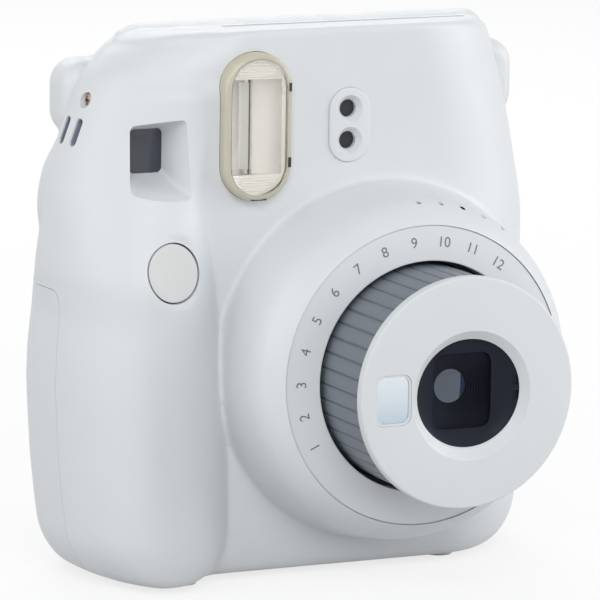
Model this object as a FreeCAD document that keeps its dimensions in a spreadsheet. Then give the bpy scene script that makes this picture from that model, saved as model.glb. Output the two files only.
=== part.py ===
import FreeCAD, Part
import math
import os
import re

import Sketcher

V = FreeCAD.Vector
doc = FreeCAD.newDocument("instant_camera")

# ---------------------------------------------------------------------------
# Driving dimensions (mm).  X is right seen from the front, -Y is the way the
# lens looks, Z is up.  The camera stands on z = 0; y = 0 is half way between
# the door's back and the front of the extended lens.
# ---------------------------------------------------------------------------
SIZES = [
    # whole camera
    ("overall_width", 116.0), ("overall_height", 118.3), ("overall_depth", 68.2),
    ("lens_travel", 15.8), ("body_thickness", 42.8), ("wall", 2.0),
    ("foot_height", 1.2), ("curve_swell", 0.24), ("seam_gap", 0.25), ("fit_gap", 0.3), ("running_gap", 0.06),
    # plan shape of the body
    ("front_corner_x", 28.0), ("front_corner_y", 30.0), ("rear_corner_right", 9.0),
    ("rear_corner_left", 21.0), ("grip_width", 33.0), ("grip_bulge", 8.6),
    ("grip_top", 96.0), ("grip_full", 62.0),
    ("side_lean_right", 11.0), ("side_lean_left", 16.4), ("lean_start", 55.0),
    ("shoulder_radius", 9.3), ("base_radius", 11.0), ("base_tuck", 10.0), ("base_tuck_front", 4.0),
    ("thumb_start", 70.0), ("thumb_height", 24.0), ("ridge_radius", 1.3), ("part_line", 21.8), ("top_fall", 1.8), ("rear_crest", 0.8),
    ("ear_r", 10.0), ("ear_left_inset", 16.5), ("ear_left_z", 101.5), ("ear_left_depth", 17.0),
    ("ear_right_inset", 11.0), ("ear_right_z", 104.5), ("ear_right_depth", 12.0),
    # lens group
    ("lens_x", 13.3), ("lens_z", 46.2), ("collar_height", 20.55), ("collar_foot_r", 38.8),
    ("collar_rim_r", 34.2), ("ring_outer_r", 32.1), ("ring_bore_r", 24.65), ("ring_dome", 1.2),
    ("ring_depth", 5.0), ("cap_r", 24.5), ("cap_skirt", 2.4),
    ("barrel_r", 23.6), ("barrel_wall", 1.6), ("barrel_length", 33.6),
    ("recess_r", 13.6), ("opening_r", 11.7), ("recess_depth", 1.5), ("recess_shift", 0.9),
    ("mask_thickness", 1.2), ("aperture_width", 13.6), ("aperture_height", 16.0),
    ("leaf_thickness", 0.8), ("leaf_travel", 7.6), ("leaf_width", 8.6), ("leaf_height", 18.0),
    ("lens_glass_r", 3.9), ("groove_count", 44), ("groove_depth", 0.2),
    ("mirror_width", 8.2), ("mirror_height", 10.5), ("mirror_offset", 17.2), ("mirror_depth", 0.5), ("cap_face", 1.6),
    # front face fittings
    ("flash_x", -17.4), ("flash_z", 98.0), ("flash_width", 15.6), ("flash_height", 31.6),
    ("flash_proud", 3.0),
    ("finder_inset", 18.5), ("finder_z", 92.4), ("finder_width", 12.8), ("finder_height", 16.0),
    ("finder_glass_width", 6.2), ("finder_glass_height", 8.0), ("finder_recess", 8.8),
    ("finder_lean_x", 0.9), ("finder_lean_z", -0.7),
    ("sensor_x", 4.9), ("sensor_z", 97.2), ("sensor_width", 9.6), ("sensor_height", 16.0),
    ("sensor_hole_r", 1.9), ("sensor_pitch", 6.8),
    ("shutter_inset", 19.5), ("shutter_z", 68.8), ("shutter_r", 6.4),
    ("power_width", 9.0), ("power_height", 5.0),
    # film chamber
    ("film_width", 54.0), ("pack_side", 3.5), ("pack_height", 92.0), ("pack_depth", 18.4),
    ("pack_floor", 5.8), ("film_plane", 19.6), ("image_width", 46.0), ("image_height", 62.0),
    ("slot_length", 58.0), ("slot_width", 3.0),
    ("roller_r", 4.05), ("roller_z", 103.6), ("gear_module", 0.7), ("gear_width", 3.6),
    ("roller_teeth", 12), ("idler_teeth", 24), ("pinion_teeth", 10),
    ("motor_r", 5.5), ("motor_length", 24.0), ("motor_y", 7.2), ("gear_offset", 7.0), ("tube_wall", 1.8),
    # back door and battery bay
    ("door_left", -24.5), ("door_edge", 6.5), ("door_bottom", 5.0), ("door_top", 99.0),
    ("hinge_r", 1.2), ("hinge_knuckle_r", 3.2), ("hinge_inset", 5.0),
    ("cell_r", 7.15), ("cell_length", 50.0),
    ("battery_front", 12.8), ("battery_top", 64.0), ("battery_width", 20.0),
]
sheet = doc.addObject("Spreadsheet::Sheet", "P")
for row, (alias, value) in enumerate(SIZES, start=1):
    sheet.set("A%d" % row, alias)
    sheet.set("B%d" % row, str(value))
    sheet.setAlias("B%d" % row, alias)
doc.recompute()


def size(alias):
    return float(sheet.get(alias))


# Places worked out from the driving dimensions, as spreadsheet expressions.
PLACES = {
    "back": "((overall_depth + lens_travel) / 2)",
    "tip": "(-(overall_depth + lens_travel) / 2)",
    "face": "(back - body_thickness)",
    "rim": "(face - collar_height)",
    "plate_front": "(film_plane - 4.0)",
    "pack_front": "(film_plane - 1.4)",
    "seat_y": "(rim + ring_depth + 0.05)",
    "window_back": "(face + 1.8)",
    "half_width": "(overall_width / 2)",
    "pack_width": "(film_width + 2 * pack_side)",
    "pack_left": "(lens_x - pack_width / 2)",
    "pack_right": "(lens_x + pack_width / 2)",
    "gear_x": "(pack_left - gear_offset)",
    "finder_x": "(finder_inset - half_width)",
    "shutter_x": "(shutter_inset - half_width)",
    "ear_left_x": "(ear_left_inset - half_width)",
    "ear_right_x": "(half_width - ear_right_inset)",
    "door_right": "(half_width - door_edge)",
    "battery_edge": "(battery_width - half_width)",
    "cell_a_x": "(11.7 - half_width)",
    "cell_b_x": "(21.6 - half_width)",
    "rear_screw_x": "(29.8 - half_width)",
    "counter_x": "(27 - half_width)",
    "pillar_x": "(half_width - 14.5)",
    "pack_top": "(pack_floor + pack_height)",
    "roller_pitch_r": "(gear_module * roller_teeth / 2)",
    "hinge_x": "(overall_width / 2 - hinge_inset)",
    "hinge_y": "(back - hinge_inset)",
    "cap_back": "(tip + cap_skirt)",
    "barrel_back": "(cap_back + barrel_length)",
    "mask_front": "(tip + cap_face)",
    "leaf_front": "(mask_front + mask_thickness + 0.3)",
    "baffle_front": "(leaf_front + leaf_thickness + 0.3)",
    "tube_bore_r": "(barrel_r + fit_gap)",
    "tube_r": "(tube_bore_r + tube_wall)",
    "glass_y": "(face + finder_recess)",
    "power_y": "(rim + 7.35)",
    "button_front": "(face - 8.1)",
}
ALIASES = {alias for alias, value in SIZES}


def bind(text):
    """Turn a formula of size and place names into a sheet expression."""
    def name(match):
        word = match.group()
        if word in PLACES:
            return bind(PLACES[word])
        return "P." + word if word in ALIASES else word
    return re.sub(r"[a-z][a-z_]*", name, text)


def number(text):
    """Value of such a formula."""
    return float(sheet.evalExpression(bind(text)))


LEFT = -size("overall_width") / 2
RIGHT = size("overall_width") / 2
BACK = number("back")
FACE = number("face")
RIM = number("rim")
TOP = size("overall_height")
BASE = size("foot_height")
WALL = size("wall")
PART_LINE = size("part_line")
LENS = V(size("lens_x"), 0, size("lens_z"))


# ---------------------------------------------------------------------------
# Body outline: a stack of plan sections, one per height, lofted upwards.
# ---------------------------------------------------------------------------
def clamp(value, low, high):
    return max(low, min(high, value))


def side_right(height):
    """The right wall leans in towards the top along a power curve."""
    rise = clamp((height - size("lean_start")) / (TOP - size("lean_start")), 0, 1)
    return RIGHT - size("side_lean_right") * rise ** 1.7


def side_left(height, rear=False):
    """The left wall leans in further and turns over a rounded shoulder. On the
    rear half it stays out longer, as a thumb rest, and falls back above it."""
    rise = clamp((height - size("lean_start") + 6) / (TOP - size("lean_start")), 0, 1.1)
    radius = size("shoulder_radius")
    over = clamp((height - TOP + radius) / radius, 0, 0.97)
    wall = LEFT + size("side_lean_left") * rise ** 2.2 + radius * (1 - math.sqrt(1 - over * over))
    if rear:
        turn = clamp((height - size("thumb_start")) / size("thumb_height"), 0, 0.98)
        rest = LEFT + 0.3 + 10.0 * (1 - math.sqrt(1 - turn * turn))
        share = clamp((height - 86.0) / 9.0, 0, 1)
        wall += (min(wall, rest) - wall) * (1 - share * share * (3 - 2 * share))
    return wall


def grip_strength(height):
    """One where the grip stands fully proud, fading to nothing at its top."""
    fade = clamp((size("grip_top") - height) / (size("grip_top") - size("grip_full")), 0, 1)
    return fade * fade * (3 - 2 * fade)


def quarter(fraction):
    """Depth of a unit quarter circle at a fraction of its width from the edge."""
    return 1 - math.sqrt(max(0.0, 1 - (1 - fraction) ** 2))


def plan_section(height, inset, rear=False):
    """Closed curve of the body's wall at one height, moved inwards by inset."""
    left, right = side_left(height, rear) + size("curve_swell"), side_right(height) - size("curve_swell")
    back = BACK - size("curve_swell")
    strength = grip_strength(height)
    corner_x, corner_y = size("front_corner_x"), size("front_corner_y")
    radius_left, radius_right = size("rear_corner_left"), size("rear_corner_right")
    left_y = size("body_thickness") - radius_left
    points = []
    # left wall and grip, front to the lens side: shares of the grip's width,
    # and how far the grip's surface stands from the face there
    grip = [(0.0, -left_y), (0.03, -9.5), (0.11, -0.6), (0.27, 5.8), (0.48, 8.6), (0.70, 7.9),
            (0.88, 4.3), (1.0, 0.7)]
    for share, proud in grip:
        flat = FACE + left_y * quarter(clamp(share * 1.36, 0, 1))
        full = FACE - proud * (size("grip_bulge") / 8.6 if proud > 0 else 1.0)
        points.append(V(left + share * size("grip_width"), (1 - strength) * flat + strength * full, height))
    flat_start, flat_end = points[-1].x, right - corner_x
    for share in (0.08, 0.32, 0.68, 1.0):
        points.append(V(flat_start + share * (flat_end - flat_start), FACE, height))
    for degrees in (22.5, 45, 67.5, 90):
        angle = math.radians(degrees)
        points.append(V(right - corner_x * (1 - math.sin(angle)), FACE + corner_y * (1 - math.cos(angle)), height))
    for degrees in (15, 45, 75):
        angle = math.radians(degrees)
        points.append(V(right - radius_right * (1 - math.cos(angle)),
                        back - radius_right * (1 - math.sin(angle)), height))
    for share in (0.03, 0.12, 0.5, 0.88):
        points.append(V(right - radius_right - share * (right - radius_right - left - radius_left), back, height))
    for degrees in (84, 60, 35, 12):
        angle = math.radians(degrees)
        points.append(V(left + radius_left * (1 - math.cos(angle)),
                        back - radius_left * (1 - math.sin(angle)), height))
    drop = clamp((BASE + size("base_radius") - height) / size("base_radius"), 0, 1)
    tuck = 1 - math.sqrt(max(0.0, 1 - drop * drop * 0.96))
    moved = []
    count = len(points)
    for index, point in enumerate(points):
        along = points[(index + 1) % count] - points[index - 1]
        normal = V(-along.y, along.x, 0)
        normal.normalize()
        moved.append(V(point.x + normal.x * (inset + tuck * size("base_tuck")),
                       point.y + normal.y * (inset + tuck * size("base_tuck_front")), height))
    return moved


def body_loft(inset, bottom, top, rear=False):
    """Solid of the whole body's plan sections, moved inwards by inset."""
    heights = [bottom + share * (top - bottom)
               for share in (0, 0.014, 0.045, 0.10, 0.30, 0.52, 0.68, 0.82, 0.92, 0.97, 1.0)]
    if rear:
        heights = sorted(heights + [73.0, 88.0])
    reference = plan_section(size("lens_z"), 0)
    params = [0.0]
    for here, there in zip(reference, reference[1:] + reference[:1]):
        params.append(params[-1] + (there - here).Length)
    wires = []
    for height in heights:
        curve = Part.BSplineCurve()
        curve.interpolate(Points=plan_section(height, inset, rear), PeriodicFlag=True, Parameters=params)
        wires.append(Part.Wire(curve.toShape()))
    return Part.makeLoft(wires, True, False)


# ---------------------------------------------------------------------------
# Small builders for document objects whose sizes are bound to the sheet.
# ---------------------------------------------------------------------------
TURN = {"X": FreeCAD.Rotation(V(0, 1, 0), 90), "Y": FreeCAD.Rotation(V(1, 0, 0), -90), "Z": FreeCAD.Rotation()}
SUB_PARTS = {}


def node(name, item):
    """Register a document object as the sub-part of that name."""
    item.Label = name
    SUB_PARTS[name] = item
    return item


def place(item, x, y, z, axis="Z"):
    item.Placement = FreeCAD.Placement(V(), TURN[axis])
    for letter, formula in (("x", x), ("y", y), ("z", z)):
        item.setExpression("Placement.Base." + letter, bind(formula))
    return item


def block(name, x, y, z, dx, dy, dz):
    """Box from its low corner and its three lengths."""
    item = doc.addObject("Part::Box", name)
    for prop, formula in (("Length", dx), ("Width", dy), ("Height", dz)):
        item.setExpression(prop, bind(formula))
    return place(item, x, y, z)


def slab(name, x, z, width, height, y, depth):
    """Box centred on (x, z), from y backwards."""
    return block(name, "%s - (%s) / 2" % (x, width), y, "%s - (%s) / 2" % (z, height), width, depth, height)


def rod(name, axis, x, y, z, radius, length):
    """Cylinder from its start point along an axis."""
    item = doc.addObject("Part::Cylinder", name)
    item.setExpression("Radius", bind(radius))
    item.setExpression("Height", bind(length))
    return place(item, x, y, z, axis)


def cone(name, axis, x, y, z, radius_start, radius_end, length):
    item = doc.addObject("Part::Cone", name)
    item.setExpression("Radius1", bind(radius_start))
    item.setExpression("Radius2", bind(radius_end))
    item.setExpression("Height", bind(length))
    return place(item, x, y, z, axis)


def stadium(name, x, z, width, height, y, depth):
    """Upright slot shape: a box with a half-round at its top and bottom."""
    half = "(%s) / 2" % width
    rise = "((%s) / 2 - (%s) / 2)" % (height, width)
    return fuse(name, [
        slab(name + "_mid", x, z, width, "(%s) - (%s)" % (height, width), y, depth),
        rod(name + "_upper", "Y", x, y, "%s + %s" % (z, rise), half, depth),
        rod(name + "_lower", "Y", x, y, "%s - %s" % (z, rise), half, depth),
    ])


def fuse(name, items, refine=True):
    item = doc.addObject("Part::MultiFuse", name)
    item.Shapes = items
    item.Refine = refine
    return item


def common(name, items):
    """What two items share."""
    item = doc.addObject("Part::Common", name)
    item.Base, item.Tool = items
    return item


def cut(name, base, tools, refine=True):
    """Base with each tool taken away in turn."""
    item = base
    for index, tool in enumerate(tools):
        last = index == len(tools) - 1
        step = doc.addObject("Part::Cut", name if last else "%s_%d" % (name, index))
        step.Base = item
        step.Tool = tool
        step.Refine = last and refine
        item = step
    return item


def fixed(name, shape):
    """Part::Feature for a form that no primitive or sketch makes."""
    item = doc.addObject("Part::Feature", name)
    item.Shape = shape
    return item


def group(name, items):
    """Several loose solids kept as one sub-part."""
    item = doc.addObject("Part::Compound", name)
    item.Links = items
    return item


def hull_of(name, items):
    """Rods and blocks trimmed to the outer form, so none pokes out."""
    return common(name, [fuse(name + "_raw", items) if len(items) > 1 else items[0], outer])


def wedge(name, x, z, y, depth, front, rear, lean=("0", "0"), start=("0", "0")):
    """Four-sided funnel along Y; front and rear are (width, height), start and lean how far each end moves."""
    item = doc.addObject("Part::Wedge", name)
    limits = (("Xmin", "Xmax", front[0], start[0]), ("Zmin", "Zmax", front[1], start[1]),
              ("X2min", "X2max", rear[0], lean[0]), ("Z2min", "Z2max", rear[1], lean[1]))
    for low, high, span, move in limits:
        item.setExpression(low, bind("%s - (%s) / 2" % (move, span)))
        item.setExpression(high, bind("%s + (%s) / 2" % (move, span)))
    item.setExpression("Ymin", "0")
    item.setExpression("Ymax", bind(depth))
    return place(item, x, y, z)


def spoke(name, degrees, start, y, radius, length):
    """Rod that points away from the lens axis, degrees from upright."""
    item = doc.addObject("Part::Cylinder", name)
    item.setExpression("Radius", bind(radius))
    item.setExpression("Height", bind(length))
    item.Placement = FreeCAD.Placement(V(), FreeCAD.Rotation(V(0, 1, 0), degrees))
    item.setExpression("Placement.Base.x", bind("lens_x + (%s) * %.6f" % (start, math.sin(math.radians(degrees)))))
    item.setExpression("Placement.Base.y", bind(y))
    item.setExpression("Placement.Base.z", bind("lens_z + (%s) * %.6f" % (start, math.cos(math.radians(degrees)))))
    return item


def lathe(name, corners, x="lens_x", z="lens_z"):
    """PartDesign body turned about a line along Y through (x, z).

    corners are (radius, y) formulas of the profile's corners, in order.
    """
    body = doc.addObject("PartDesign::Body", name)
    sketch = body.newObject("Sketcher::SketchObject", name + "_profile")
    plane = [item for item in body.Origin.OriginFeatures if item.Role == "XY_Plane"][0]
    sketch.AttachmentSupport = [(plane, "")]
    sketch.MapMode = "FlatFace"
    spots = [V(number(radius), number(along), 0) for radius, along in corners]
    count = len(spots)
    for index in range(count):
        sketch.addGeometry(Part.LineSegment(spots[index], spots[(index + 1) % count]), False)
    for index in range(count):
        sketch.addConstraint(Sketcher.Constraint("Coincident", index, 2, (index + 1) % count, 1))
    for index, (radius, along) in enumerate(corners):
        if radius == "0":
            sketch.addConstraint(Sketcher.Constraint("PointOnObject", index, 1, -2))
        else:
            mark = sketch.addConstraint(Sketcher.Constraint("DistanceX", -1, 1, index, 1, spots[index].x))
            sketch.setExpression("Constraints[%d]" % mark, bind(radius))
        mark = sketch.addConstraint(Sketcher.Constraint("DistanceY", -1, 1, index, 1, spots[index].y))
        sketch.setExpression("Constraints[%d]" % mark, bind(along))
    turned = body.newObject("PartDesign::Revolution", name + "_turned")
    turned.Profile = (sketch, [""])
    turned.ReferenceAxis = (sketch, ["V_Axis"])
    turned.Angle = 360
    return place(body, x, "0", z)


def coil(name, axis, start, radius, wire, length, turns):
    """Compression spring from start along an axis."""
    path = Part.makeHelix(length / turns, length, radius)
    profile = Part.Wire(Part.makeCircle(wire, V(radius, 0, 0), V(0, 1, 0)))
    spring = Part.Wire(path.Edges).makePipeShell([profile], True, True)
    item = fixed(name, spring)
    item.Placement = FreeCAD.Placement(start, TURN[axis])
    return item


# ---------------------------------------------------------------------------
# Outer shells
# ---------------------------------------------------------------------------
def crown(inset):
    """Side profile of the whole body across X: crisp front ridge, falling top,
    a slightly higher rear crest and a rounded rear shoulder."""
    low, reach = -5.0, RIGHT + 10
    ridge = size("ridge_radius")
    top_front = TOP - inset
    top_part = TOP - size("top_fall") - inset
    crest = TOP - size("rear_crest") - inset
    back = BACK - inset
    face = FACE + inset
    soft = ridge * (1 - math.sqrt(0.5))
    wire = Part.Wire([
        Part.LineSegment(V(0, face - 30, low), V(0, face - 30, TOP - 30)).toShape(),
        Part.LineSegment(V(0, face - 30, TOP - 30), V(0, face, TOP - 30)).toShape(),
        Part.LineSegment(V(0, face, TOP - 30), V(0, face, top_front - ridge)).toShape(),
        Part.Arc(V(0, face, top_front - ridge), V(0, face + soft, top_front - soft),
                 V(0, face + ridge, top_front)).toShape(),
        Part.LineSegment(V(0, face + ridge, top_front), V(0, PART_LINE, top_part)).toShape(),
        Part.Arc(V(0, PART_LINE, top_part), V(0, PART_LINE + 3.4, crest), V(0, PART_LINE + 8.0, crest - 1.6)).toShape(),
        Part.Arc(V(0, PART_LINE + 8.0, crest - 1.6), V(0, back - 3.6, crest - 7.0), V(0, back, crest - 14)).toShape(),
        Part.LineSegment(V(0, back, crest - 14), V(0, back + 8, crest - 40)).toShape(),
        Part.LineSegment(V(0, back + 8, crest - 40), V(0, back + 8, low)).toShape(),
        Part.LineSegment(V(0, back + 8, low), V(0, face - 30, low)).toShape(),
    ])
    solid = Part.Face(wire).extrude(V(2 * reach, 0, 0))
    solid.translate(V(-reach, 0, 0))
    return solid


def ears(inset):
    """Rounded lobes that stand out at the two upper corners of the rear shell."""
    lobes = []
    for side, length in (("left", size("ear_left_depth")), ("right", size("ear_right_depth"))):
        start = V(number("ear_%s_x" % side), PART_LINE + inset, size("ear_%s_z" % side))
        lobes.append(Part.makeCylinder(size("ear_r") - inset, length - 2 * inset, start, V(0, 1, 0)))
    return lobes


def envelope(inset, rear=False):
    """Solid of the body, moved inwards by inset."""
    body = body_loft(inset, BASE + inset, TOP - inset, rear)
    return body.fuse(ears(inset)).common(crown(inset))


def collar_form():
    """Turned solid of the collar: rim, swelling side and the part inside the body."""
    foot, rim, seat = size("collar_foot_r"), size("collar_rim_r"), size("ring_outer_r")
    back = PART_LINE - 4
    side = Part.BSplineCurve()
    side.interpolate([V(seat + 0.25, RIM, 0), V(rim, RIM + 2.05, 0), V(rim + 1.5, RIM + 4.6, 0),
                      V(foot - 1.3, FACE - 8, 0), V(foot, FACE + 1.0, 0)])
    edges = [side.toShape()]
    for start, end in ((V(foot, FACE + 1.0, 0), V(foot, back, 0)), (V(foot, back, 0), V(0, back, 0)),
                       (V(0, back, 0), V(0, RIM, 0)), (V(0, RIM, 0), V(seat + 0.25, RIM, 0))):
        edges.append(Part.LineSegment(start, end).toShape())
    solid = Part.Face(Part.Wire(edges)).revolve(V(0, 0, 0), V(0, 1, 0), 360)
    solid.translate(LENS)
    return solid


def zone(low, high):
    """Block between two corners given as formulas."""
    start = V(*[number(value) for value in low])
    span = V(*[number(value) for value in high]) - start
    return Part.makeBox(span.x, span.y, span.z, start)


outer_shape = envelope(0).fuse(collar_form())
collar_hollow = fuse("collar_hollow", [
    cone("collar_hollow_front", "Y", "lens_x", "seat_y + wall", "lens_z", "collar_rim_r - 0.2",
         "collar_foot_r - wall", "face - seat_y - wall"),
    rod("collar_hollow_back", "Y", "lens_x", "face", "lens_z", "collar_foot_r - wall", "part_line - 4 - face"),
])
doc.recompute()
skin_shape = outer_shape.cut(envelope(WALL).fuse(collar_hollow.Shape))
battery_zone = zone(("-overall_width", "battery_front", "-1"), ("battery_edge", "back + 20", "battery_top"))
battery_hole = zone(("-overall_width", "battery_front - seam_gap", "-1"),
                    ("battery_edge + seam_gap", "back + 20", "battery_top + seam_gap"))
front_zone = zone(("-overall_width", "part_line - 160", "-20"), ("overall_width", "part_line", "180"))
rear_zone = zone(("-overall_width", "part_line", "-20"), ("overall_width", "part_line + 100", "180"))
door_zone = zone(("door_left", "back - wall - 0.4", "door_bottom"), ("door_right", "back + 10", "door_top"))
door_hole = zone(("door_left - seam_gap", "back - wall - 2.4", "door_bottom - seam_gap"),
                 ("hinge_x", "back + 10", "door_top + seam_gap"))
outer = fixed("outer_form", outer_shape)
clear_body = fixed("clear_form", envelope(WALL + size("fit_gap")))
front_blank = fixed("front_blank", skin_shape.common(front_zone).cut(battery_hole))
rear_skin_shape = envelope(0, rear=True).cut(envelope(WALL, rear=True))
rear_blank = fixed("rear_blank", rear_skin_shape.common(rear_zone).cut(battery_hole).cut(door_hole))
door_skin = fixed("door_skin", outer_shape.common(door_zone))

# ---------------------------------------------------------------------------
# Front shell: collar, windows, holes, pillars that carry the chassis
# ---------------------------------------------------------------------------
front_add = hull_of("front_pillars", [
    rod("pillar_a", "Y", "-17", "face", "10", "2.2", "plate_front - face"),
    rod("pillar_b", "Y", "pillar_x", "face - 20", "12", "2.2", "plate_front - face + 20"),
    rod("pillar_c", "Y", "pillar_x", "face", "94", "2.2", "plate_front - face"),
    rod("pillar_d", "Y", "-5.5", "face", "93", "1.8", "plate_front - face"),
    rod("pillar_e", "Y", "shutter_x - 8.5", "-12", "shutter_z - 5.5", "1.8", "15"),
    rod("pillar_f", "Y", "shutter_x + 8.8", "-12", "shutter_z + 4.5", "1.8", "15"),
    rod("screw_post", "Y", "rear_screw_x", "face", "108", "2.4", "part_line - face"),
])
finder_wall = hull_of("finder_wall", [
    wedge("finder_funnel", "finder_x", "finder_z", "face - 2.2", "finder_recess + 2.2",
          ("finder_width + 3", "finder_height + 3"), ("finder_glass_width + 3", "finder_glass_height + 3"),
          lean=("finder_lean_x", "finder_lean_z")),
])
front_raw = fuse("front_raw", [front_blank, front_add, finder_wall], refine=False)
front_tools = [
    rod("ring_seat", "Y", "lens_x", "rim - 5", "lens_z", "ring_outer_r + running_gap", "seat_y - rim + 5"),
    rod("collar_bore", "Y", "lens_x", "rim", "lens_z", "28", "seat_y - rim + wall + 1"),
    stadium("flash_hole", "flash_x", "flash_z", "flash_width + 0.1", "flash_height + 0.1", "face - 8", "8 + wall + 2"),
    wedge("finder_mouth", "finder_x", "finder_z", "face - 6", "finder_recess + 6.2",
          ("finder_width + 6 * (finder_width - finder_glass_width) / finder_recess",
           "finder_height + 6 * (finder_height - finder_glass_height) / finder_recess"),
          ("finder_glass_width + 0.02 * finder_glass_width", "finder_glass_height + 0.02 * finder_glass_height"),
          lean=("1.02 * finder_lean_x", "1.02 * finder_lean_z"),
          start=("-6 * finder_lean_x / finder_recess", "-6 * finder_lean_z / finder_recess")),
    stadium("sensor_hole", "sensor_x", "sensor_z", "sensor_width + 0.1", "sensor_height + 0.1",
            "face - 4", "4 + wall + 1"),
    rod("shutter_hole", "Y", "shutter_x", "face - 14", "shutter_z", "shutter_r + fit_gap", "14 + wall"),
    block("power_slot", "lens_x + 31", "power_y - 0.15", "lens_z - power_height / 2 - 0.15", "12",
          "power_width + 0.3", "power_height + 0.3"),
    block("film_slot", "lens_x - slot_length / 2", "part_line - 0.8 - slot_width", "108", "slot_length",
          "slot_width", "20"),
    rod("screw_bore", "Y", "rear_screw_x", "10", "108", "0.8", "20"),
    rod("side_screw_bore", "X", "-60", "14", "103", "1.5", "24"),
    block("strap_slot_a", "-60", "12.7", "92", "15", "1.6", "6.5"),
    block("strap_slot_b", "-60", "17.7", "92", "15", "1.6", "6.5"),
]
LAMP_ANGLES = [1.3 + 8.5 * step for step in range(5)]
for index, degrees in enumerate(LAMP_ANGLES):
    front_tools.append(spoke("lamp_hole_%d" % index, degrees, "ring_outer_r + 1.2", "rim + 5.6", "0.7", "6"))
front_shell = node("front_shell", fuse("front_shell_all", [
    cut("front_shell_cut", front_raw, front_tools, refine=False),
    rod("foot_a", "Z", "-29.5", "0", "0", "3.2", "foot_height + 1.5"),
    rod("foot_b", "Z", "33", "9", "0", "3.2", "foot_height + 1.5"),
], refine=False))

# ---------------------------------------------------------------------------
# Rear shell, hinge, door and what the door carries
# ---------------------------------------------------------------------------
lugs = []
for side, low, high in (("low", "door_bottom + 0.3", "20"), ("high", "85", "door_top - 0.3")):
    span = "(%s) - (%s)" % (high, low)
    lugs.append(rod("lug_%s" % side, "Z", "hinge_x", "hinge_y", low, "hinge_knuckle_r - 0.4", span))
    lugs.append(block("lug_%s_web" % side, "hinge_x - 1.4", "hinge_y - 5.4", low, "2.8", "5.4", span))
    lugs.append(block("lug_%s_arm" % side, "hinge_x - 1.4", "hinge_y - 5.4", low, "5.2", "1.4", span))
rear_skin = cut("rear_skin_cut", rear_blank, [
    rod("hinge_groove", "Z", "hinge_x", "hinge_y", "door_bottom - seam_gap", "4.2",
        "door_top - door_bottom + 2 * seam_gap"),
], refine=False)
rear_raw = fuse("rear_raw", [rear_skin,
    hull_of("rear_posts", [rod("rear_screw_post", "Y", "rear_screw_x", "part_line", "108", "2.6", "30"),
                           rod("counter_rim", "Y", "counter_x", "back - wall - 0.6", "72", "4.6", "4")]),
    hull_of("hinge_lugs", lugs),
    rod("foot_c", "Z", "-29.5", "36", "0", "3.2", "foot_height + 1.5"),
    rod("foot_d", "Z", "33", "34", "0", "3.2", "foot_height + 1.5"),
], refine=False)
rear_shell = node("rear_shell", cut("rear_shell_all", rear_raw, [
    slab("eyepiece_hole", "finder_x", "finder_z", "7.2", "6.2", "30", "20"),
    rod("rear_screw_hole", "Y", "rear_screw_x", "20", "108", "0.8", "30"),
    rod("rear_screw_recess", "Y", "rear_screw_x", "35", "108", "1.7", "20"),
    rod("counter_hole", "Y", "counter_x", "back - 6", "72", "3.2", "8"),
    rod("pin_hole", "Z", "hinge_x", "hinge_y", "door_bottom", "hinge_r", "door_top - door_bottom"),
], refine=False))
node("hinge_pin", rod("hinge_pin", "Z", "hinge_x", "hinge_y", "door_bottom + 2", "hinge_r",
                      "door_top - door_bottom - 4"))
door_raw = fuse("door_raw", [door_skin,
    rod("door_barrel", "Z", "hinge_x", "hinge_y", "20.3", "hinge_knuckle_r", "64.4"),
    block("door_web", "hinge_x - hinge_knuckle_r", "hinge_y", "20.3", "hinge_knuckle_r", "3.7", "64.4"),
])
node("back_door", cut("back_door_all", door_raw, [
    rod("door_bore", "Z", "hinge_x", "hinge_y", "10", "hinge_r + running_gap", "90"),
    slab("latch_pocket", "door_left + 4.8", "60", "6.1", "16", "back - 1.6", "4"),
    slab("latch_slot", "door_left + 3.6", "60", "2.3", "9", "back - 6", "8"),
    slab("window_hole", "30", "52", "12", "24", "back - 6", "10"),
]))
node("door_latch", cut("door_latch_all", fuse("door_latch_body", [
    slab("latch_thumb", "door_left + 4.8", "58.5", "5.9", "12.6", "back - 1.55", "1.3"),
    slab("latch_hook", "door_left + 3.6", "58.5", "2.1", "5.4", "back - wall - 2.0", "wall + 0.6"),
]), [slab("latch_groove_%d" % index, "door_left + 4.8", "%.1f" % (55.5 + 2 * index), "7", "0.8", "back - 0.55", "2")
    for index in range(4)]))
node("pack_window", slab("pack_window", "30", "52", "12", "24", "back - 2.2", "1.6"))
leaf_curve = "(back - wall - 0.4 - (pack_front + pack_depth))"
springs = []
for index, x in enumerate(("-2", "22")):
    springs.append(common("leaf_spring_%d" % index, [
        cut("leaf_tube_%d" % index,
            rod("leaf_outer_%d" % index, "X", x, "pack_front + pack_depth + 40.5", "lens_z", "40.5", "6"),
            [rod("leaf_inner_%d" % index, "X", x + " - 1", "pack_front + pack_depth + 40.5", "lens_z", "40.0", "8")]),
        block("leaf_span_%d" % index, x, "pack_front + pack_depth", "lens_z - 20", "6", leaf_curve, "40"),
    ]))
node("pressure_springs", group("pressure_springs", springs))

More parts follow.
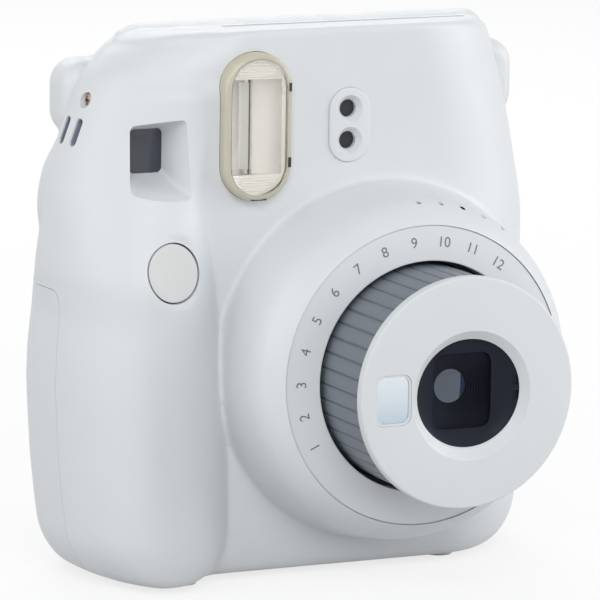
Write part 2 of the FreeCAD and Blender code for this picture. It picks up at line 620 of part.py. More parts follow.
# ---------------------------------------------------------------------------
# Battery bay
# ---------------------------------------------------------------------------
node("battery_cover", fixed("battery_cover", skin_shape.common(battery_zone)))
tray_hollow = block("tray_hollow", "-half_width - 0.8", "8.8", "6.2", "30.6", "40", "cell_length + 2.6")
node("battery_tray", common("battery_tray_all", [
    cut("battery_tray_box", block("tray_box", "-half_width - 2", "7.6", "4.2", "33", "40", "cell_length + 5.8"), [tray_hollow]), clear_body]))
cells = [rod("cell_a", "Z", "cell_a_x", "16.7", "7.2", "cell_r", "cell_length"),
         rod("cell_b", "Z", "cell_b_x", "27.4", "7.2", "cell_r", "cell_length")]
node("battery_cells", group("battery_cells", cells))
contacts = []
for name, x, y in (("a", "cell_a_x", "16.7"), ("b", "cell_b_x", "27.4")):
    contacts.append(cone("contact_%s_low" % name, "Z", x, y, "6.2", "3.4", "2.2", "1.0"))
    contacts.append(cone("contact_%s_high" % name, "Z", x, y, "7.2 + cell_length", "2.2", "3.4",
                         "1.6"))
node("battery_contacts", group("battery_contacts", contacts))

# ---------------------------------------------------------------------------
# Chassis with guide tube, film chamber and rollers
# ---------------------------------------------------------------------------
ROLLER_TEETH = int(size("roller_teeth"))
IDLER_TEETH = int(size("idler_teeth"))
PINION_TEETH = int(size("pinion_teeth"))
MODULE = size("gear_module")


def axle_below(y, z, reach, new_y):
    """Point at the given distance and new y, on the lower side."""
    return new_y, z - math.sqrt(reach * reach - (new_y - y) ** 2)


FRONT_ROLLER = (number("film_plane - 0.3 - roller_pitch_r + 0.3"), size("roller_z"))
REAR_ROLLER = (FRONT_ROLLER[0] + MODULE * ROLLER_TEETH, size("roller_z"))
IDLER = axle_below(FRONT_ROLLER[0], FRONT_ROLLER[1], MODULE * (ROLLER_TEETH + IDLER_TEETH) / 2, FRONT_ROLLER[0] - 2.52)
PINION = axle_below(IDLER[0], IDLER[1], MODULE * (PINION_TEETH + IDLER_TEETH) / 2, size("motor_y"))


def gear(name, teeth, centre, phase, bore):
    """Spur gear about X at (y, z), with a tooth centred at phase degrees."""
    pitch = MODULE * teeth / 2
    corners = []
    for tooth in range(teeth):
        middle = math.radians(phase) + 2 * math.pi * tooth / teeth
        for radius, share in ((pitch - 1.2 * MODULE, -0.36), (pitch + 0.85 * MODULE, -0.11),
                              (pitch + 0.85 * MODULE, 0.11), (pitch - 1.2 * MODULE, 0.36)):
            angle = middle + share * 2 * math.pi / teeth
            corners.append(V(0, radius * math.cos(angle), radius * math.sin(angle)))
    solid = Part.Face(Part.makePolygon(corners + corners[:1])).extrude(V(size("gear_width"), 0, 0))
    if bore:
        solid = solid.cut(Part.makeCylinder(bore, size("gear_width"), V(), V(1, 0, 0)))
    item = fixed(name, solid)
    item.Placement = FreeCAD.Placement(V(number("gear_x"), centre[0], centre[1]), FreeCAD.Rotation())
    return item


def meshed(phase, teeth, centre, mate_teeth, mate):
    """Phase of the mate that puts its gap against this gear's tooth."""
    direction = math.degrees(math.atan2(mate[1] - centre[1], mate[0] - centre[0]))
    offset = (phase - direction) % (360 / teeth)
    return direction + 180 - offset * teeth / mate_teeth + 180 / mate_teeth


IDLER_PHASE = meshed(0, ROLLER_TEETH, FRONT_ROLLER, IDLER_TEETH, IDLER)
at = "%.4f"
chassis_solids = fuse("chassis_solids", [
    rod("guide_tube", "Y", "lens_x", "rim + 5.85", "lens_z", "tube_r", "plate_front - rim - 5.85"),
    slab("neck", "lens_x", "lens_z", "53", "65", "plate_front - 2.6", "2.6"),
    block("film_plate", "pack_left - 2.8", "plate_front", "4.2", "pack_width + 5.4", "pack_front - plate_front",
          "pack_height + 2.8"),
    block("rail_left", "pack_left - 2.8", "pack_front", "4.2", "1.7", "18", "pack_height + 3"),
    block("rail_right", "pack_right + 1.1", "pack_front", "4.2", "1.5", "18", "pack_height + 3"),
    block("pack_ledge", "pack_left - 2.8", "pack_front", "4.2", "pack_width + 5.4", "17", "pack_floor - 4.2"),
    block("side_left_plate", "pack_left - 2.8", "4.0", "74", "1.7", "25", "35"),
    block("side_right_plate", "lens_x + slot_length / 2 - 0.5", "13.0", "98.1", "1.2", "15", "9.2"),
    rod("idler_axle", "X", "gear_x - 0.6", at % IDLER[0], at % IDLER[1], "1.2", "pack_left - 2.1 - gear_x"),
    rod("board_post_a", "Y", "17", "plate_front - 4.8", "84", "1.5", "4.9"),
    rod("board_post_b", "Y", "half_width - 21.5", "plate_front - 4.8", "84", "1.5", "4.9"),
    rod("board_post_c", "Y", "27", "plate_front - 4.8", "96", "1.5", "4.9"),
    block("switch_pad", "lens_x + tube_r - 1", "power_y + 1", "lens_z - 4", "1.6", "8", "8"),
])
chassis_tools = [
    rod("guide_bore", "Y", "lens_x", "rim", "lens_z", "tube_bore_r", "plate_front - 1.6 - rim"),
    wedge("light_path", "lens_x", "lens_z", "plate_front - 1.6", "1.6 + pack_front - plate_front",
          ("image_width - 4", "image_height - 5.4"), ("image_width", "image_height")),
    rod("motor_shaft_hole", "X", "pack_left - 4.8", at % PINION[0], at % PINION[1], "1.06", "5"),
]
for name, spot in (("front", FRONT_ROLLER), ("rear", REAR_ROLLER)):
    chassis_tools.append(rod(name + "_bearing", "X", "pack_left - 4.8", at % spot[0], at % spot[1], "1.5 + running_gap", "70"))
node("chassis", cut("chassis_all", chassis_solids, chassis_tools))

for name, spot, phase in (("front", FRONT_ROLLER, 0), ("rear", REAR_ROLLER, 180 + 180 / ROLLER_TEETH)):
    y, z = at % spot[0], at % spot[1]
    node(name + "_roller", fuse(name + "_roller_all", [
        rod(name + "_roller_body", "X", "lens_x - film_width / 2 - 1", y, z, "roller_r", "film_width + 2"),
        rod(name + "_roller_shaft", "X", "gear_x", y, z, "1.5", "lens_x + slot_length / 2 + 0.9 - gear_x"),
        gear(name + "_roller_gear", ROLLER_TEETH, spot, phase, 0),
    ]))
node("idler_gear", gear("idler_gear", IDLER_TEETH, IDLER, IDLER_PHASE, 1.26))
PINION_PHASE = meshed(IDLER_PHASE, IDLER_TEETH, IDLER, PINION_TEETH, PINION)
node("pinion_gear", fuse("pinion_gear_all", [
    gear("pinion_teeth_ring", PINION_TEETH, PINION, PINION_PHASE, 0),
    rod("pinion_shaft", "X", "gear_x", at % PINION[0], at % PINION[1], "1.0", "5.8"),
]))
node("drive_motor", rod("drive_motor", "X", "pack_left - 1.1", at % PINION[0], at % PINION[1], "motor_r", "motor_length"))

pack_hollow = block("pack_hollow", "pack_left + 1.2", "pack_front + 1.2", "pack_floor + 1.2", "pack_width - 2.4",
                    "pack_depth - 2.4", "pack_height - 2.4")
node("film_pack", cut("film_pack_all", block("pack_box", "pack_left", "pack_front", "pack_floor", "pack_width",
                                             "pack_depth", "pack_height"), [
    pack_hollow,
    slab("pack_gate", "lens_x", "lens_z", "image_width", "image_height", "pack_front - 1", "3"),
    block("pack_slot", "lens_x - film_width / 2 - 0.5", "film_plane - 0.2", "pack_top - 3", "film_width + 1",
          "1.6", "4"),
]))
node("film_stack", block("film_stack", "lens_x - film_width / 2", "film_plane - 0.2", "pack_floor + 1.2",
                         "film_width", "9.0", "pack_height - 6"))

# ---------------------------------------------------------------------------
# Boards, flash, finder, sensors, controls
# ---------------------------------------------------------------------------
node("main_board", block("main_board", "lens_x + 0.7", "plate_front - 6.4", "80", "half_width - 19.5 - lens_x - 0.7",
                         "1.6", "28"))
node("flash_capacitor", rod("flash_capacitor", "X", "10.6", "5.6", "92", "3.6", "19.6"))
flash_shell = stadium("flash_outer", "flash_x", "flash_z", "flash_width", "flash_height", "face - flash_proud",
                      "flash_proud + 1.8")
node("flash_window", cut("flash_window_all", flash_shell, [
    stadium("flash_inner", "flash_x", "flash_z", "flash_width - 3", "flash_height - 3",
            "face - flash_proud + 1.2", "flash_proud + 4")]))
node("flash_reflector", cut("flash_reflector_all", fuse("reflector_solids", [
    slab("reflector_box", "flash_x", "flash_z", "flash_width - 6", "flash_height - 8", "face - 1.2", "4.4"),
    slab("reflector_flange", "flash_x", "flash_z", "flash_width - 0.8", "flash_height - 12", "window_back", "1.2"),
]), [
    wedge("reflector_trough", "flash_x", "flash_z", "face - 2.2", "5.0",
          ("flash_width - 6.4", "flash_height - 8.4"), ("3.6", "flash_height - 11")),
]))
node("flash_tube", rod("flash_tube", "Z", "flash_x", "face + 1.0", "flash_z - (flash_height - 11.2) / 2", "1.2",
                       "flash_height - 11.2"))
node("finder_front_glass", slab("finder_front_glass", "finder_x + finder_lean_x", "finder_z + finder_lean_z",
                                "finder_glass_width", "finder_glass_height", "glass_y", "1.0"))
node("finder_tube", cut("finder_tube_all", slab("finder_tube_box", "finder_x + finder_lean_x + 0.3",
                                                "finder_z + finder_lean_z - 0.2", "finder_glass_width + 1.2",
                                                "finder_glass_height + 1.2", "glass_y + 0.6", "30 - glass_y"), [
    slab("finder_tube_bore", "finder_x + finder_lean_x", "finder_z + finder_lean_z", "finder_glass_width",
         "finder_glass_height", "glass_y - 1", "40")]))
node("finder_eyepiece", fuse("finder_eyepiece_all", [
    slab("eyepiece_flange", "finder_x", "finder_z", "9.4", "8.4", "30.6", "1.2"),
    slab("eyepiece_lens", "finder_x", "finder_z", "7", "6", "31.8", "6.6"),
]))
sensor_holes = []
for name, sign in (("upper", "+"), ("lower", "-")):
    height = "sensor_z %s sensor_pitch / 2" % sign
    sensor_holes.append(rod("sensor_bore_" + name, "Y", "sensor_x", "face - 2", height, "sensor_hole_r", "8"))
    sensor_holes.append(cone("sensor_mouth_" + name, "Y", "sensor_x", "face - 0.5", height, "sensor_hole_r + 1.2",
                             "sensor_hole_r", "1.6"))
node("sensor_bezel", cut("sensor_bezel_all", stadium("sensor_disc", "sensor_x", "sensor_z", "sensor_width",
                                                     "sensor_height", "face - 0.4", "2.4"), sensor_holes))
node("light_sensors", group("light_sensors", [
    rod("light_sensor_upper", "Y", "sensor_x", "face + 2.0", "sensor_z + sensor_pitch / 2", "2.5", "2.2"),
    rod("light_sensor_lower", "Y", "sensor_x", "face + 2.0", "sensor_z - sensor_pitch / 2", "2.5", "2.2"),
]))
node("sensor_board", slab("sensor_board", "sensor_x", "sensor_z", "10", "18", "face + 4.2", "1.4"))

button_ball = doc.addObject("Part::Sphere", "button_ball")
button_ball.setExpression("Radius", bind("30"))
place(button_ball, "shutter_x", "button_front + 0.4 - 30", "shutter_z")
node("shutter_button", fuse("shutter_button_all", [
    cut("button_dished", fuse("button_blank", [
        cone("button_rim", "Y", "shutter_x", "button_front", "shutter_z", "shutter_r - 0.5", "shutter_r", "0.5"),
        rod("button_cap", "Y", "shutter_x", "button_front + 0.5", "shutter_z", "shutter_r", "6.1")]), [button_ball]),
    rod("button_flange", "Y", "shutter_x", "button_front + 6.6", "shutter_z", "shutter_r + 0.9", "0.9"),
    rod("button_stem", "Y", "shutter_x", "button_front + 7.5", "shutter_z", "1.8", "3.3"),
]))
node("switch_bracket", cut("switch_bracket_all", common("switch_bracket_trim", [
    block("bracket_plate", "shutter_x - 13", "3.0", "shutter_z - 9", "25", "1.4", "18"), clear_body]), [
    rod("bracket_hole", "Y", "shutter_x", "2", "shutter_z", "2.4", "4")]))
node("shutter_switch", fuse("shutter_switch_all", [
    slab("switch_case", "shutter_x", "shutter_z", "8", "8", "4.4", "4"),
    rod("switch_plunger", "Y", "shutter_x", "3.6", "shutter_z", "1.2", "1"),
]))
node("power_button", fuse("power_button_all", [
    block("power_cap", "lens_x + 33.0", "power_y", "lens_z - power_height / 2", "5.1", "power_width", "power_height"),
    block("power_flange", "lens_x + 32.4", "power_y", "lens_z - power_height / 2 - 1.2", "1.2", "power_width + 0.8",
          "power_height + 2.4"),
]))
node("power_switch", fuse("power_switch_all", [
    block("power_switch_case", "lens_x + tube_r + 0.6", "power_y + 2", "lens_z - 3", "3.6", "6", "6"),
    block("power_switch_key", "lens_x + tube_r + 4.2", "power_y + 4", "lens_z - 1", "0.9", "2", "2"),
]))
node("brightness_dial", lathe("brightness_dial", [
    ("ring_bore_r", "rim - ring_dome"), ("ring_outer_r", "rim"), ("ring_outer_r", "rim + ring_depth"),
    ("ring_bore_r", "rim + ring_depth"),
]))
lamps = [spoke("lamp_%d" % index, degrees, "ring_outer_r + 1.2", "rim + 5.6", "0.7", "2.6")
         for index, degrees in enumerate(LAMP_ANGLES)]
node("indicator_lamps", group("indicator_lamps", lamps))

# ---------------------------------------------------------------------------
# Lens group: everything that slides with the barrel
# ---------------------------------------------------------------------------
barrel_grooves = [spoke("groove_%d" % index, 360.0 * (index + 0.5) / size("groove_count"), "barrel_r", "0", "0.3", "1")
                  for index in range(int(size("groove_count")))]
for groove in barrel_grooves:
    groove.setExpression("Height", bind("barrel_length - 1"))
    groove.setExpression("Placement.Base.y", bind("cap_back + 0.5"))
    groove.setExpression("Radius", bind("groove_depth"))
    groove.Placement = FreeCAD.Placement(groove.Placement.Base, TURN["Y"])
node("barrel_tube", cut("barrel_tube_all", lathe("barrel_blank", [
    ("barrel_r - barrel_wall", "cap_back"), ("barrel_r", "cap_back"), ("barrel_r", "barrel_back"),
    ("barrel_r - barrel_wall", "barrel_back"),
]), [group("barrel_grooves", barrel_grooves)]))
cap_body = lathe("cap_body", [
    ("0", "tip"), ("cap_r - 0.5", "tip"), ("cap_r", "tip + 0.5"), ("cap_r", "cap_back"),
    ("barrel_r - barrel_wall", "cap_back"), ("barrel_r - barrel_wall", "mask_front"), ("0", "mask_front"),
])
node("front_cap", cut("front_cap_all", cap_body, [
    cone("cap_recess", "Y", "lens_x + recess_shift", "tip", "lens_z - 0.6", "recess_r", "opening_r", "recess_depth"),
    rod("cap_opening", "Y", "lens_x + recess_shift - 0.4", "tip", "lens_z - 0.3", "opening_r", "5"),
    slab("mirror_pocket", "lens_x - mirror_offset", "lens_z - 0.45", "mirror_width", "mirror_height", "tip - 1", "3"),
]))
node("selfie_mirror", slab("selfie_mirror", "lens_x - mirror_offset", "lens_z - 0.45", "mirror_width",
                           "mirror_height", "tip + mirror_depth", "cap_face - mirror_depth"))
node("lens_mask", cut("lens_mask_all", rod("mask_disc", "Y", "lens_x", "mask_front", "lens_z", "15", "mask_thickness"), [
    slab("mask_hole", "lens_x", "lens_z", "aperture_width", "aperture_height - 3", "mask_front - 1", "4"),
    slab("mask_hole_tall", "lens_x", "lens_z", "aperture_width - 3", "aperture_height", "mask_front - 1", "4"),
    rod("mask_corner_a", "Y", "lens_x - aperture_width / 2 + 1.5", "mask_front - 1",
        "lens_z - aperture_height / 2 + 1.5", "1.5", "4"),
    rod("mask_corner_b", "Y", "lens_x + aperture_width / 2 - 1.5", "mask_front - 1",
        "lens_z - aperture_height / 2 + 1.5", "1.5", "4"),
    rod("mask_corner_c", "Y", "lens_x - aperture_width / 2 + 1.5", "mask_front - 1",
        "lens_z + aperture_height / 2 - 1.5", "1.5", "4"),
    rod("mask_corner_d", "Y", "lens_x + aperture_width / 2 - 1.5", "mask_front - 1",
        "lens_z + aperture_height / 2 - 1.5", "1.5", "4"),
    cone("mask_dish", "Y", "lens_x", "mask_front - 0.01", "lens_z", "12.4", "10.6", "0.7"),
]))
node("left_leaf", slab("left_leaf", "lens_x - leaf_travel - 0.15 - leaf_width / 2", "lens_z", "leaf_width",
                       "leaf_height", "leaf_front", "leaf_thickness"))
node("right_leaf", slab("right_leaf", "lens_x + leaf_travel + 0.15 + leaf_width / 2", "lens_z", "leaf_width",
                        "leaf_height", "leaf_front", "leaf_thickness"))
ribs = [("8.8", "baffle_front"), ("barrel_r - barrel_wall", "baffle_front"),
        ("barrel_r - barrel_wall", "baffle_front + 1.2"), ("11", "baffle_front + 1.2"),
        ("6.6", "baffle_front + 6.4"), ("4.6", "baffle_front + 6.4"), ("4.6", "baffle_front + 4.6"),
        ("lens_glass_r", "baffle_front + 4.6"), ("lens_glass_r", "baffle_front + 4.0")]
for step in range(5):
    radius = "lens_glass_r + %.2f" % (0.98 * (step + 1))
    if step < 4:
        ribs.append((radius, "baffle_front + %.2f" % (4.0 - 0.8 * step)))
        ribs.append((radius, "baffle_front + %.2f" % (3.2 - 0.8 * step)))
ribs.append(("8.8", "baffle_front + 0.8"))
node("lens_baffle", lathe("lens_baffle", ribs))
lens_ball = doc.addObject("Part::Sphere", "lens_ball")
lens_ball.setExpression("Radius", bind("16"))
place(lens_ball, "lens_x", "baffle_front + 3.9 + 16", "lens_z")
node("front_lens", fuse("front_lens", [
    rod("lens_disc", "Y", "lens_x", "baffle_front + 4.6", "lens_z", "4.6", "1.8"),
    common("lens_bulge", [
        rod("lens_core", "Y", "lens_x", "baffle_front + 3.9", "lens_z", "lens_glass_r - 0.05", "1.5"), lens_ball])]))
node("shutter_unit", cut("shutter_unit_all", fuse("shutter_solids", [
    rod("shutter_flange", "Y", "lens_x", "baffle_front + 10.8", "lens_z", "barrel_r - barrel_wall", "1.4"),
    rod("shutter_body", "Y", "lens_x", "baffle_front + 10.8", "lens_z", "16", "7"),
]), [rod("shutter_bore", "Y", "lens_x", "baffle_front + 9", "lens_z", "3.6", "12")]))
node("rear_lens", rod("rear_lens", "Y", "lens_x", "baffle_front + 9.2", "lens_z", "4.4", "1.6"))

# ---------------------------------------------------------------------------
# Frame counter and screws
# ---------------------------------------------------------------------------
node("counter_window", rod("counter_window", "Y", "counter_x", "back - 2.4", "72", "3.2", "1.6"))
node("counter_dial", fuse("counter_dial_all", [
    rod("counter_disc", "Y", "counter_x", "back - 4.0", "76.5", "7.4", "1.2"),
    rod("counter_hub", "Y", "counter_x", "back - 6.4", "76.5", "1.6", "2.6"),
]))
node("case_screws", group("case_screws", [
    fuse("rear_screw", [rod("rear_screw_head", "Y", "rear_screw_x", "35", "108", "1.7", "1.4"),
                        rod("rear_screw_shank", "Y", "rear_screw_x", "11", "108", "0.8", "24.5")]),
    rod("side_screw", "X", "12.2 - half_width", "14", "103", "1.5", "8"),
]))

# ---------------------------------------------------------------------------
# Checks and export
# ---------------------------------------------------------------------------
doc.recompute()
faults = []
for item in doc.Objects:
    if "Invalid" in item.State or "Error" in item.State:
        faults.append(item.Name + ": " + ", ".join(item.State))
for name, item in SUB_PARTS.items():
    if item.Shape.isNull() or not item.Shape.isValid() or not item.Shape.Solids:
        faults.append(name + ": no valid solid")
if faults:
    raise RuntimeError("; ".join(faults))
os.makedirs("parts", exist_ok=True)
for name, item in SUB_PARTS.items():
    item.Shape.exportStep("parts/%s.step" % name)
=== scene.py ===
import math
from contextlib import contextmanager

import bmesh
import bpy
import numpy as np
from mathutils import Matrix, Vector


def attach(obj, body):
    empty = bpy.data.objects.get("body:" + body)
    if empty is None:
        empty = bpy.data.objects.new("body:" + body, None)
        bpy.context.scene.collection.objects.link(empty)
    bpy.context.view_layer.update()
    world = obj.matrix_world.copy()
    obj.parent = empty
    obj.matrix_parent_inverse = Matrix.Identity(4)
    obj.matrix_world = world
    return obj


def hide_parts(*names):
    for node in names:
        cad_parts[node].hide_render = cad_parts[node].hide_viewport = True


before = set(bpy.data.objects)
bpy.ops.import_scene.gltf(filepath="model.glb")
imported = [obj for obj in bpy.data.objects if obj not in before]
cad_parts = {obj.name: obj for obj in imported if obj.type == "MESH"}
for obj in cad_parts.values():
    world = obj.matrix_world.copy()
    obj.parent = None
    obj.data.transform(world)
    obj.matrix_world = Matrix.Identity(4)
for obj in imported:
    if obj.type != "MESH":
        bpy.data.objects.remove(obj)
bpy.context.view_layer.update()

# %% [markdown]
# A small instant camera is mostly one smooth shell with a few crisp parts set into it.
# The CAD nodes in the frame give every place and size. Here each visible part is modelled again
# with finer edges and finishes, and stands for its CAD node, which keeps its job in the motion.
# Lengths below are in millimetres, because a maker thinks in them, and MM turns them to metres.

MM = 0.001
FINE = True


def deselect():
    if bpy.context.object and bpy.context.object.mode != "OBJECT":
        bpy.ops.object.mode_set(mode="OBJECT")
    bpy.ops.object.select_all(action="DESELECT")


def pick(obj):
    deselect()
    obj.select_set(True)
    bpy.context.view_layer.objects.active = obj
    return obj


@contextmanager
def editing(obj, action="SELECT", mode=None):
    """Edit mode on one object for the lines under the with, with all of it selected or nothing."""
    pick(obj)
    bpy.ops.object.mode_set(mode="EDIT")
    if mode:
        bpy.ops.mesh.select_mode(type=mode)
    bpy.ops.mesh.select_all(action=action)
    yield
    bpy.ops.object.mode_set(mode="OBJECT")


def new_object(name, data):
    obj = bpy.data.objects.new(name, data)
    bpy.context.collection.objects.link(obj)
    return obj


def face_count(obj):
    return len(obj.data.polygons)


def in_mm(values):
    return [round(value / MM, 1) for value in values]


def settle(obj):
    """Puts place, turn and scale into the mesh, so the object sits at the origin."""
    pick(obj)
    bpy.ops.object.transform_apply(location=True, rotation=True, scale=True)
    return obj


def finish_with(obj, kind, **values):
    """Adds one modifier and applies it at once."""
    pick(obj)
    tool = obj.modifiers.new(kind.lower(), kind)
    for name, value in values.items():
        setattr(tool, name, value)
    bpy.ops.object.modifier_apply(modifier=tool.name)
    return obj


def face_out(obj, doubles=1e-6):
    """Merges doubles and turns all faces outwards."""
    with editing(obj):
        bpy.ops.mesh.remove_doubles(threshold=doubles)
        bpy.ops.mesh.normals_make_consistent(inside=False)
    return obj


def smooth(obj, degrees=30):
    pick(obj)
    bpy.ops.object.shade_smooth_by_angle(angle=math.radians(degrees))
    return obj


def as_one(name, pieces):
    """Joins pieces into the first one, without cutting them where they meet."""
    pick(pieces[0])
    for piece in pieces:
        piece.select_set(True)
    bpy.ops.object.join()
    pieces[0].name = name
    return pieces[0]


SLACK, SLACK_SHARE = 2.0, 0.002
PATIENCE = ({}, {"use_hole_tolerant": True}, {"use_self": True, "use_hole_tolerant": True})


def bulk(obj):
    """Volume that the faces enclose, in cubic millimetres."""
    mesh = obj.data
    mesh.calc_loop_triangles()
    spots, corners = np.empty(3 * len(mesh.vertices)), np.empty(3 * len(mesh.loop_triangles), dtype=np.int32)
    mesh.vertices.foreach_get("co", spots)
    mesh.loop_triangles.foreach_get("vertices", corners)
    first, second, third = (spots.reshape(-1, 3) / MM)[corners.reshape(-1, 3)].transpose(1, 0, 2)
    return float((first * np.cross(second, third)).sum() / 6)


def combine(obj, tools, operation, keep=False):
    """Booleans, each made again in a more patient way when the volume shows that it went wrong."""
    for tool in tools:
        before, own, other = obj.data.copy(), bulk(obj), bulk(tool)
        low, high = {"DIFFERENCE": (own - other, own), "UNION": (max(own, other), own + other),
                     "INTERSECT": (0, min(own, other))}[operation]
        slack = SLACK + SLACK_SHARE * own
        for patience in PATIENCE:
            finish_with(obj, "BOOLEAN", operation=operation, object=tool, solver="EXACT", **patience)
            if low - slack <= bulk(obj) <= high + slack:
                break
            print("again:", operation, obj.name, tool.name, round(own), round(other), round(bulk(obj)))
            obj.data = before.copy()
        if not keep:
            bpy.data.objects.remove(tool)
    return obj


def carve(obj, *tools, keep=False):
    """Cuts each tool out of obj."""
    return combine(obj, tools, "DIFFERENCE", keep)


def join_solid(obj, *others):
    return combine(obj, others, "UNION")


def keep_inside(obj, tool, keep=False):
    return combine(obj, [tool], "INTERSECT", keep)


def copy_of(obj, name):
    twin = obj.copy()
    twin.data = obj.data.copy()
    twin.name = name
    bpy.context.collection.objects.link(twin)
    return twin


# %% [markdown]
# Most parts start as a box or a rod. A box gets its long edges rounded first and its front
# rim softened after, which is how a moulded part looks: big corners, small rims.

# %% Boxes, rods and turned parts
ALONG = {"X": (0, math.pi / 2, 0), "Y": (-math.pi / 2, 0, 0), "Z": (0, 0, 0)}
UNIT = {"X": Vector((1, 0, 0)), "Y": Vector((0, 1, 0)), "Z": Vector((0, 0, 1))}


def soften(obj, test, width, segments=4):
    """Bevels the edges whose two ends pass the test."""
    with editing(obj, "DESELECT", "EDGE"):
        shape = bmesh.from_edit_mesh(obj.data)
        for edge in shape.edges:
            if test(edge.verts[0].co / MM, edge.verts[1].co / MM):
                edge.select_set(True)
        bmesh.update_edit_mesh(obj.data)
        bpy.ops.mesh.bevel(offset=width * MM, segments=segments, affect="EDGES")
    return obj


def box(name, low, high, corner=0.0, rim=0.0, axis="Y", steps=8):
    """Box between two corners; corner rounds the edges along axis, rim softens the rest."""
    deselect()
    low, high = Vector(low), Vector(high)
    bpy.ops.mesh.primitive_cube_add(size=1, location=(low + high) / 2 * MM)
    obj = bpy.context.object
    obj.name = name
    obj.scale = (high - low) * MM
    settle(obj)
    lane = "XYZ".index(axis)
    if corner:
        soften(obj, lambda a, b: abs(a[lane] - b[lane]) > 1e-3, corner, steps)
    if rim:
        face_out(obj)
        soften(obj, lambda a, b: abs(a[lane] - b[lane]) < 1e-3, rim, 3)
    return obj


def panel(name, middle, half, depth, **rounding):
    """Box seen from the front: middle and half its size as (x, z), and where it starts and ends in depth."""
    return box(name, (middle[0] - half[0], depth[0], middle[1] - half[1]),
               (middle[0] + half[0], depth[1], middle[1] + half[1]), **rounding)


def rod(name, start, radius, length, axis="Y", sides=64, end_radius=None):
    """Rod or cone from its start point along an axis."""
    deselect()
    bpy.ops.mesh.primitive_cone_add(vertices=sides, radius1=radius * MM, radius2=(end_radius or radius) * MM,
                                    depth=length * MM, location=(Vector(start) + UNIT[axis] * length / 2) * MM,
                                    rotation=ALONG[axis])
    obj = bpy.context.object
    obj.name = name
    return settle(obj)


def turned(name, profile, centre, steps=128, closed=True, axis="Y"):
    """Spins a profile of (radius, along) points about an axis through centre."""
    lane, outward_lane = "XYZ".index(axis), int(axis == "X")
    spots = []
    for radius, along in profile:
        spot = Vector(centre)
        spot[lane] = along
        spot[outward_lane] += radius
        spots.append(spot * MM)
    edges = [(index, index + 1) for index in range(len(spots) - 1)]
    mesh = bpy.data.meshes.new(name)
    mesh.from_pydata(spots, edges + [(len(spots) - 1, 0)] * closed, [])
    obj = new_object(name, mesh)
    with editing(obj):
        bpy.ops.mesh.spin(steps=steps, angle=2 * math.pi, center=Vector(centre) * MM, axis=UNIT[axis])
    return face_out(obj)


def skin_over(name, rings, closed=False, doubles=1e-6):
    """Skin over rings of equally many points, one after the other, and back to the first if closed."""
    rings = np.array(rings)
    rows, count = rings.shape[:2]
    faces = []
    for row in range(rows if closed else rows - 1):
        upper = (row + 1) % rows
        for column in range(count):
            right = (column + 1) % count
            faces.append((row * count + column, row * count + right, upper * count + right, upper * count + column))
    mesh = bpy.data.meshes.new(name)
    mesh.from_pydata((rings.reshape(-1, 3) * MM).tolist(), [], faces)
    return face_out(new_object(name, mesh), doubles)


def rounded(profile, steps=4):
    """Profile whose points with a third value, a reach, are turned into small arcs."""
    made = []
    count = len(profile)
    for index, spot in enumerate(profile):
        here = Vector(spot[:2])
        if len(spot) < 3:
            made.append(tuple(here))
            continue
        before, after = Vector(profile[index - 1][:2]), Vector(profile[(index + 1) % count][:2])
        start = here + (before - here).normalized() * spot[2]
        end = here + (after - here).normalized() * spot[2]
        for step in range(steps + 1):
            share = step / steps
            made.append(tuple((1 - share) ** 2 * start + 2 * share * (1 - share) * here + share ** 2 * end))
    return made


# %% [markdown]
# The shell's outline is worked out as a stack of plan sections, one per height, as a pattern
# maker would draw it: straight walls that lean in, a long soft corner on the lens side, a bulging
# grip on the hand side, and a crisp ridge along the top of the face. The front half and the rear
# half use slightly different left walls, because the rear half stands proud as a thumb rest.

# %% The body's outline
FACE, BACK, BASE, TOP, PARTING = -0.8, 42.0, 1.2, 118.3, 21.8
LENS_X, LENS_Z = 13.3, 46.2
LENS = (LENS_X, 0, LENS_Z)
FRONT_CORNER, FACE_RUN, REAR_CORNER, GRIP_CORNER = 28.0, 30.0, 9.0, 21.0
GRIP_REACH, GRIP_APEX, SIDE_DEPTH, PLAIN_RUN = 8.6, 16.0, 21.8, 24.3
CREASE_X, CREASE_BEND, BASE_ROUND, TOP_ROUND, CROWN_START = -22.2, 0.00125, 11.0, 2.6, 86.0


def ease(value, low, high):
    share = min(max((value - low) / (high - low), 0.0), 1.0)
    return share * share * (3 - 2 * share)


HEIGHTS = np.linspace(-10.0, 140.0, 601)


def batten(heights, places, reach=10):
    """Line through places at given heights, rounded a little, as a thin batten bends past its pins."""
    line = np.interp(HEIGHTS, heights, places)
    weights = np.exp(-np.linspace(-2.0, 2.0, 2 * reach + 1) ** 2)
    return np.convolve(np.pad(line, reach, mode="edge"), weights / weights.sum(), mode="valid")


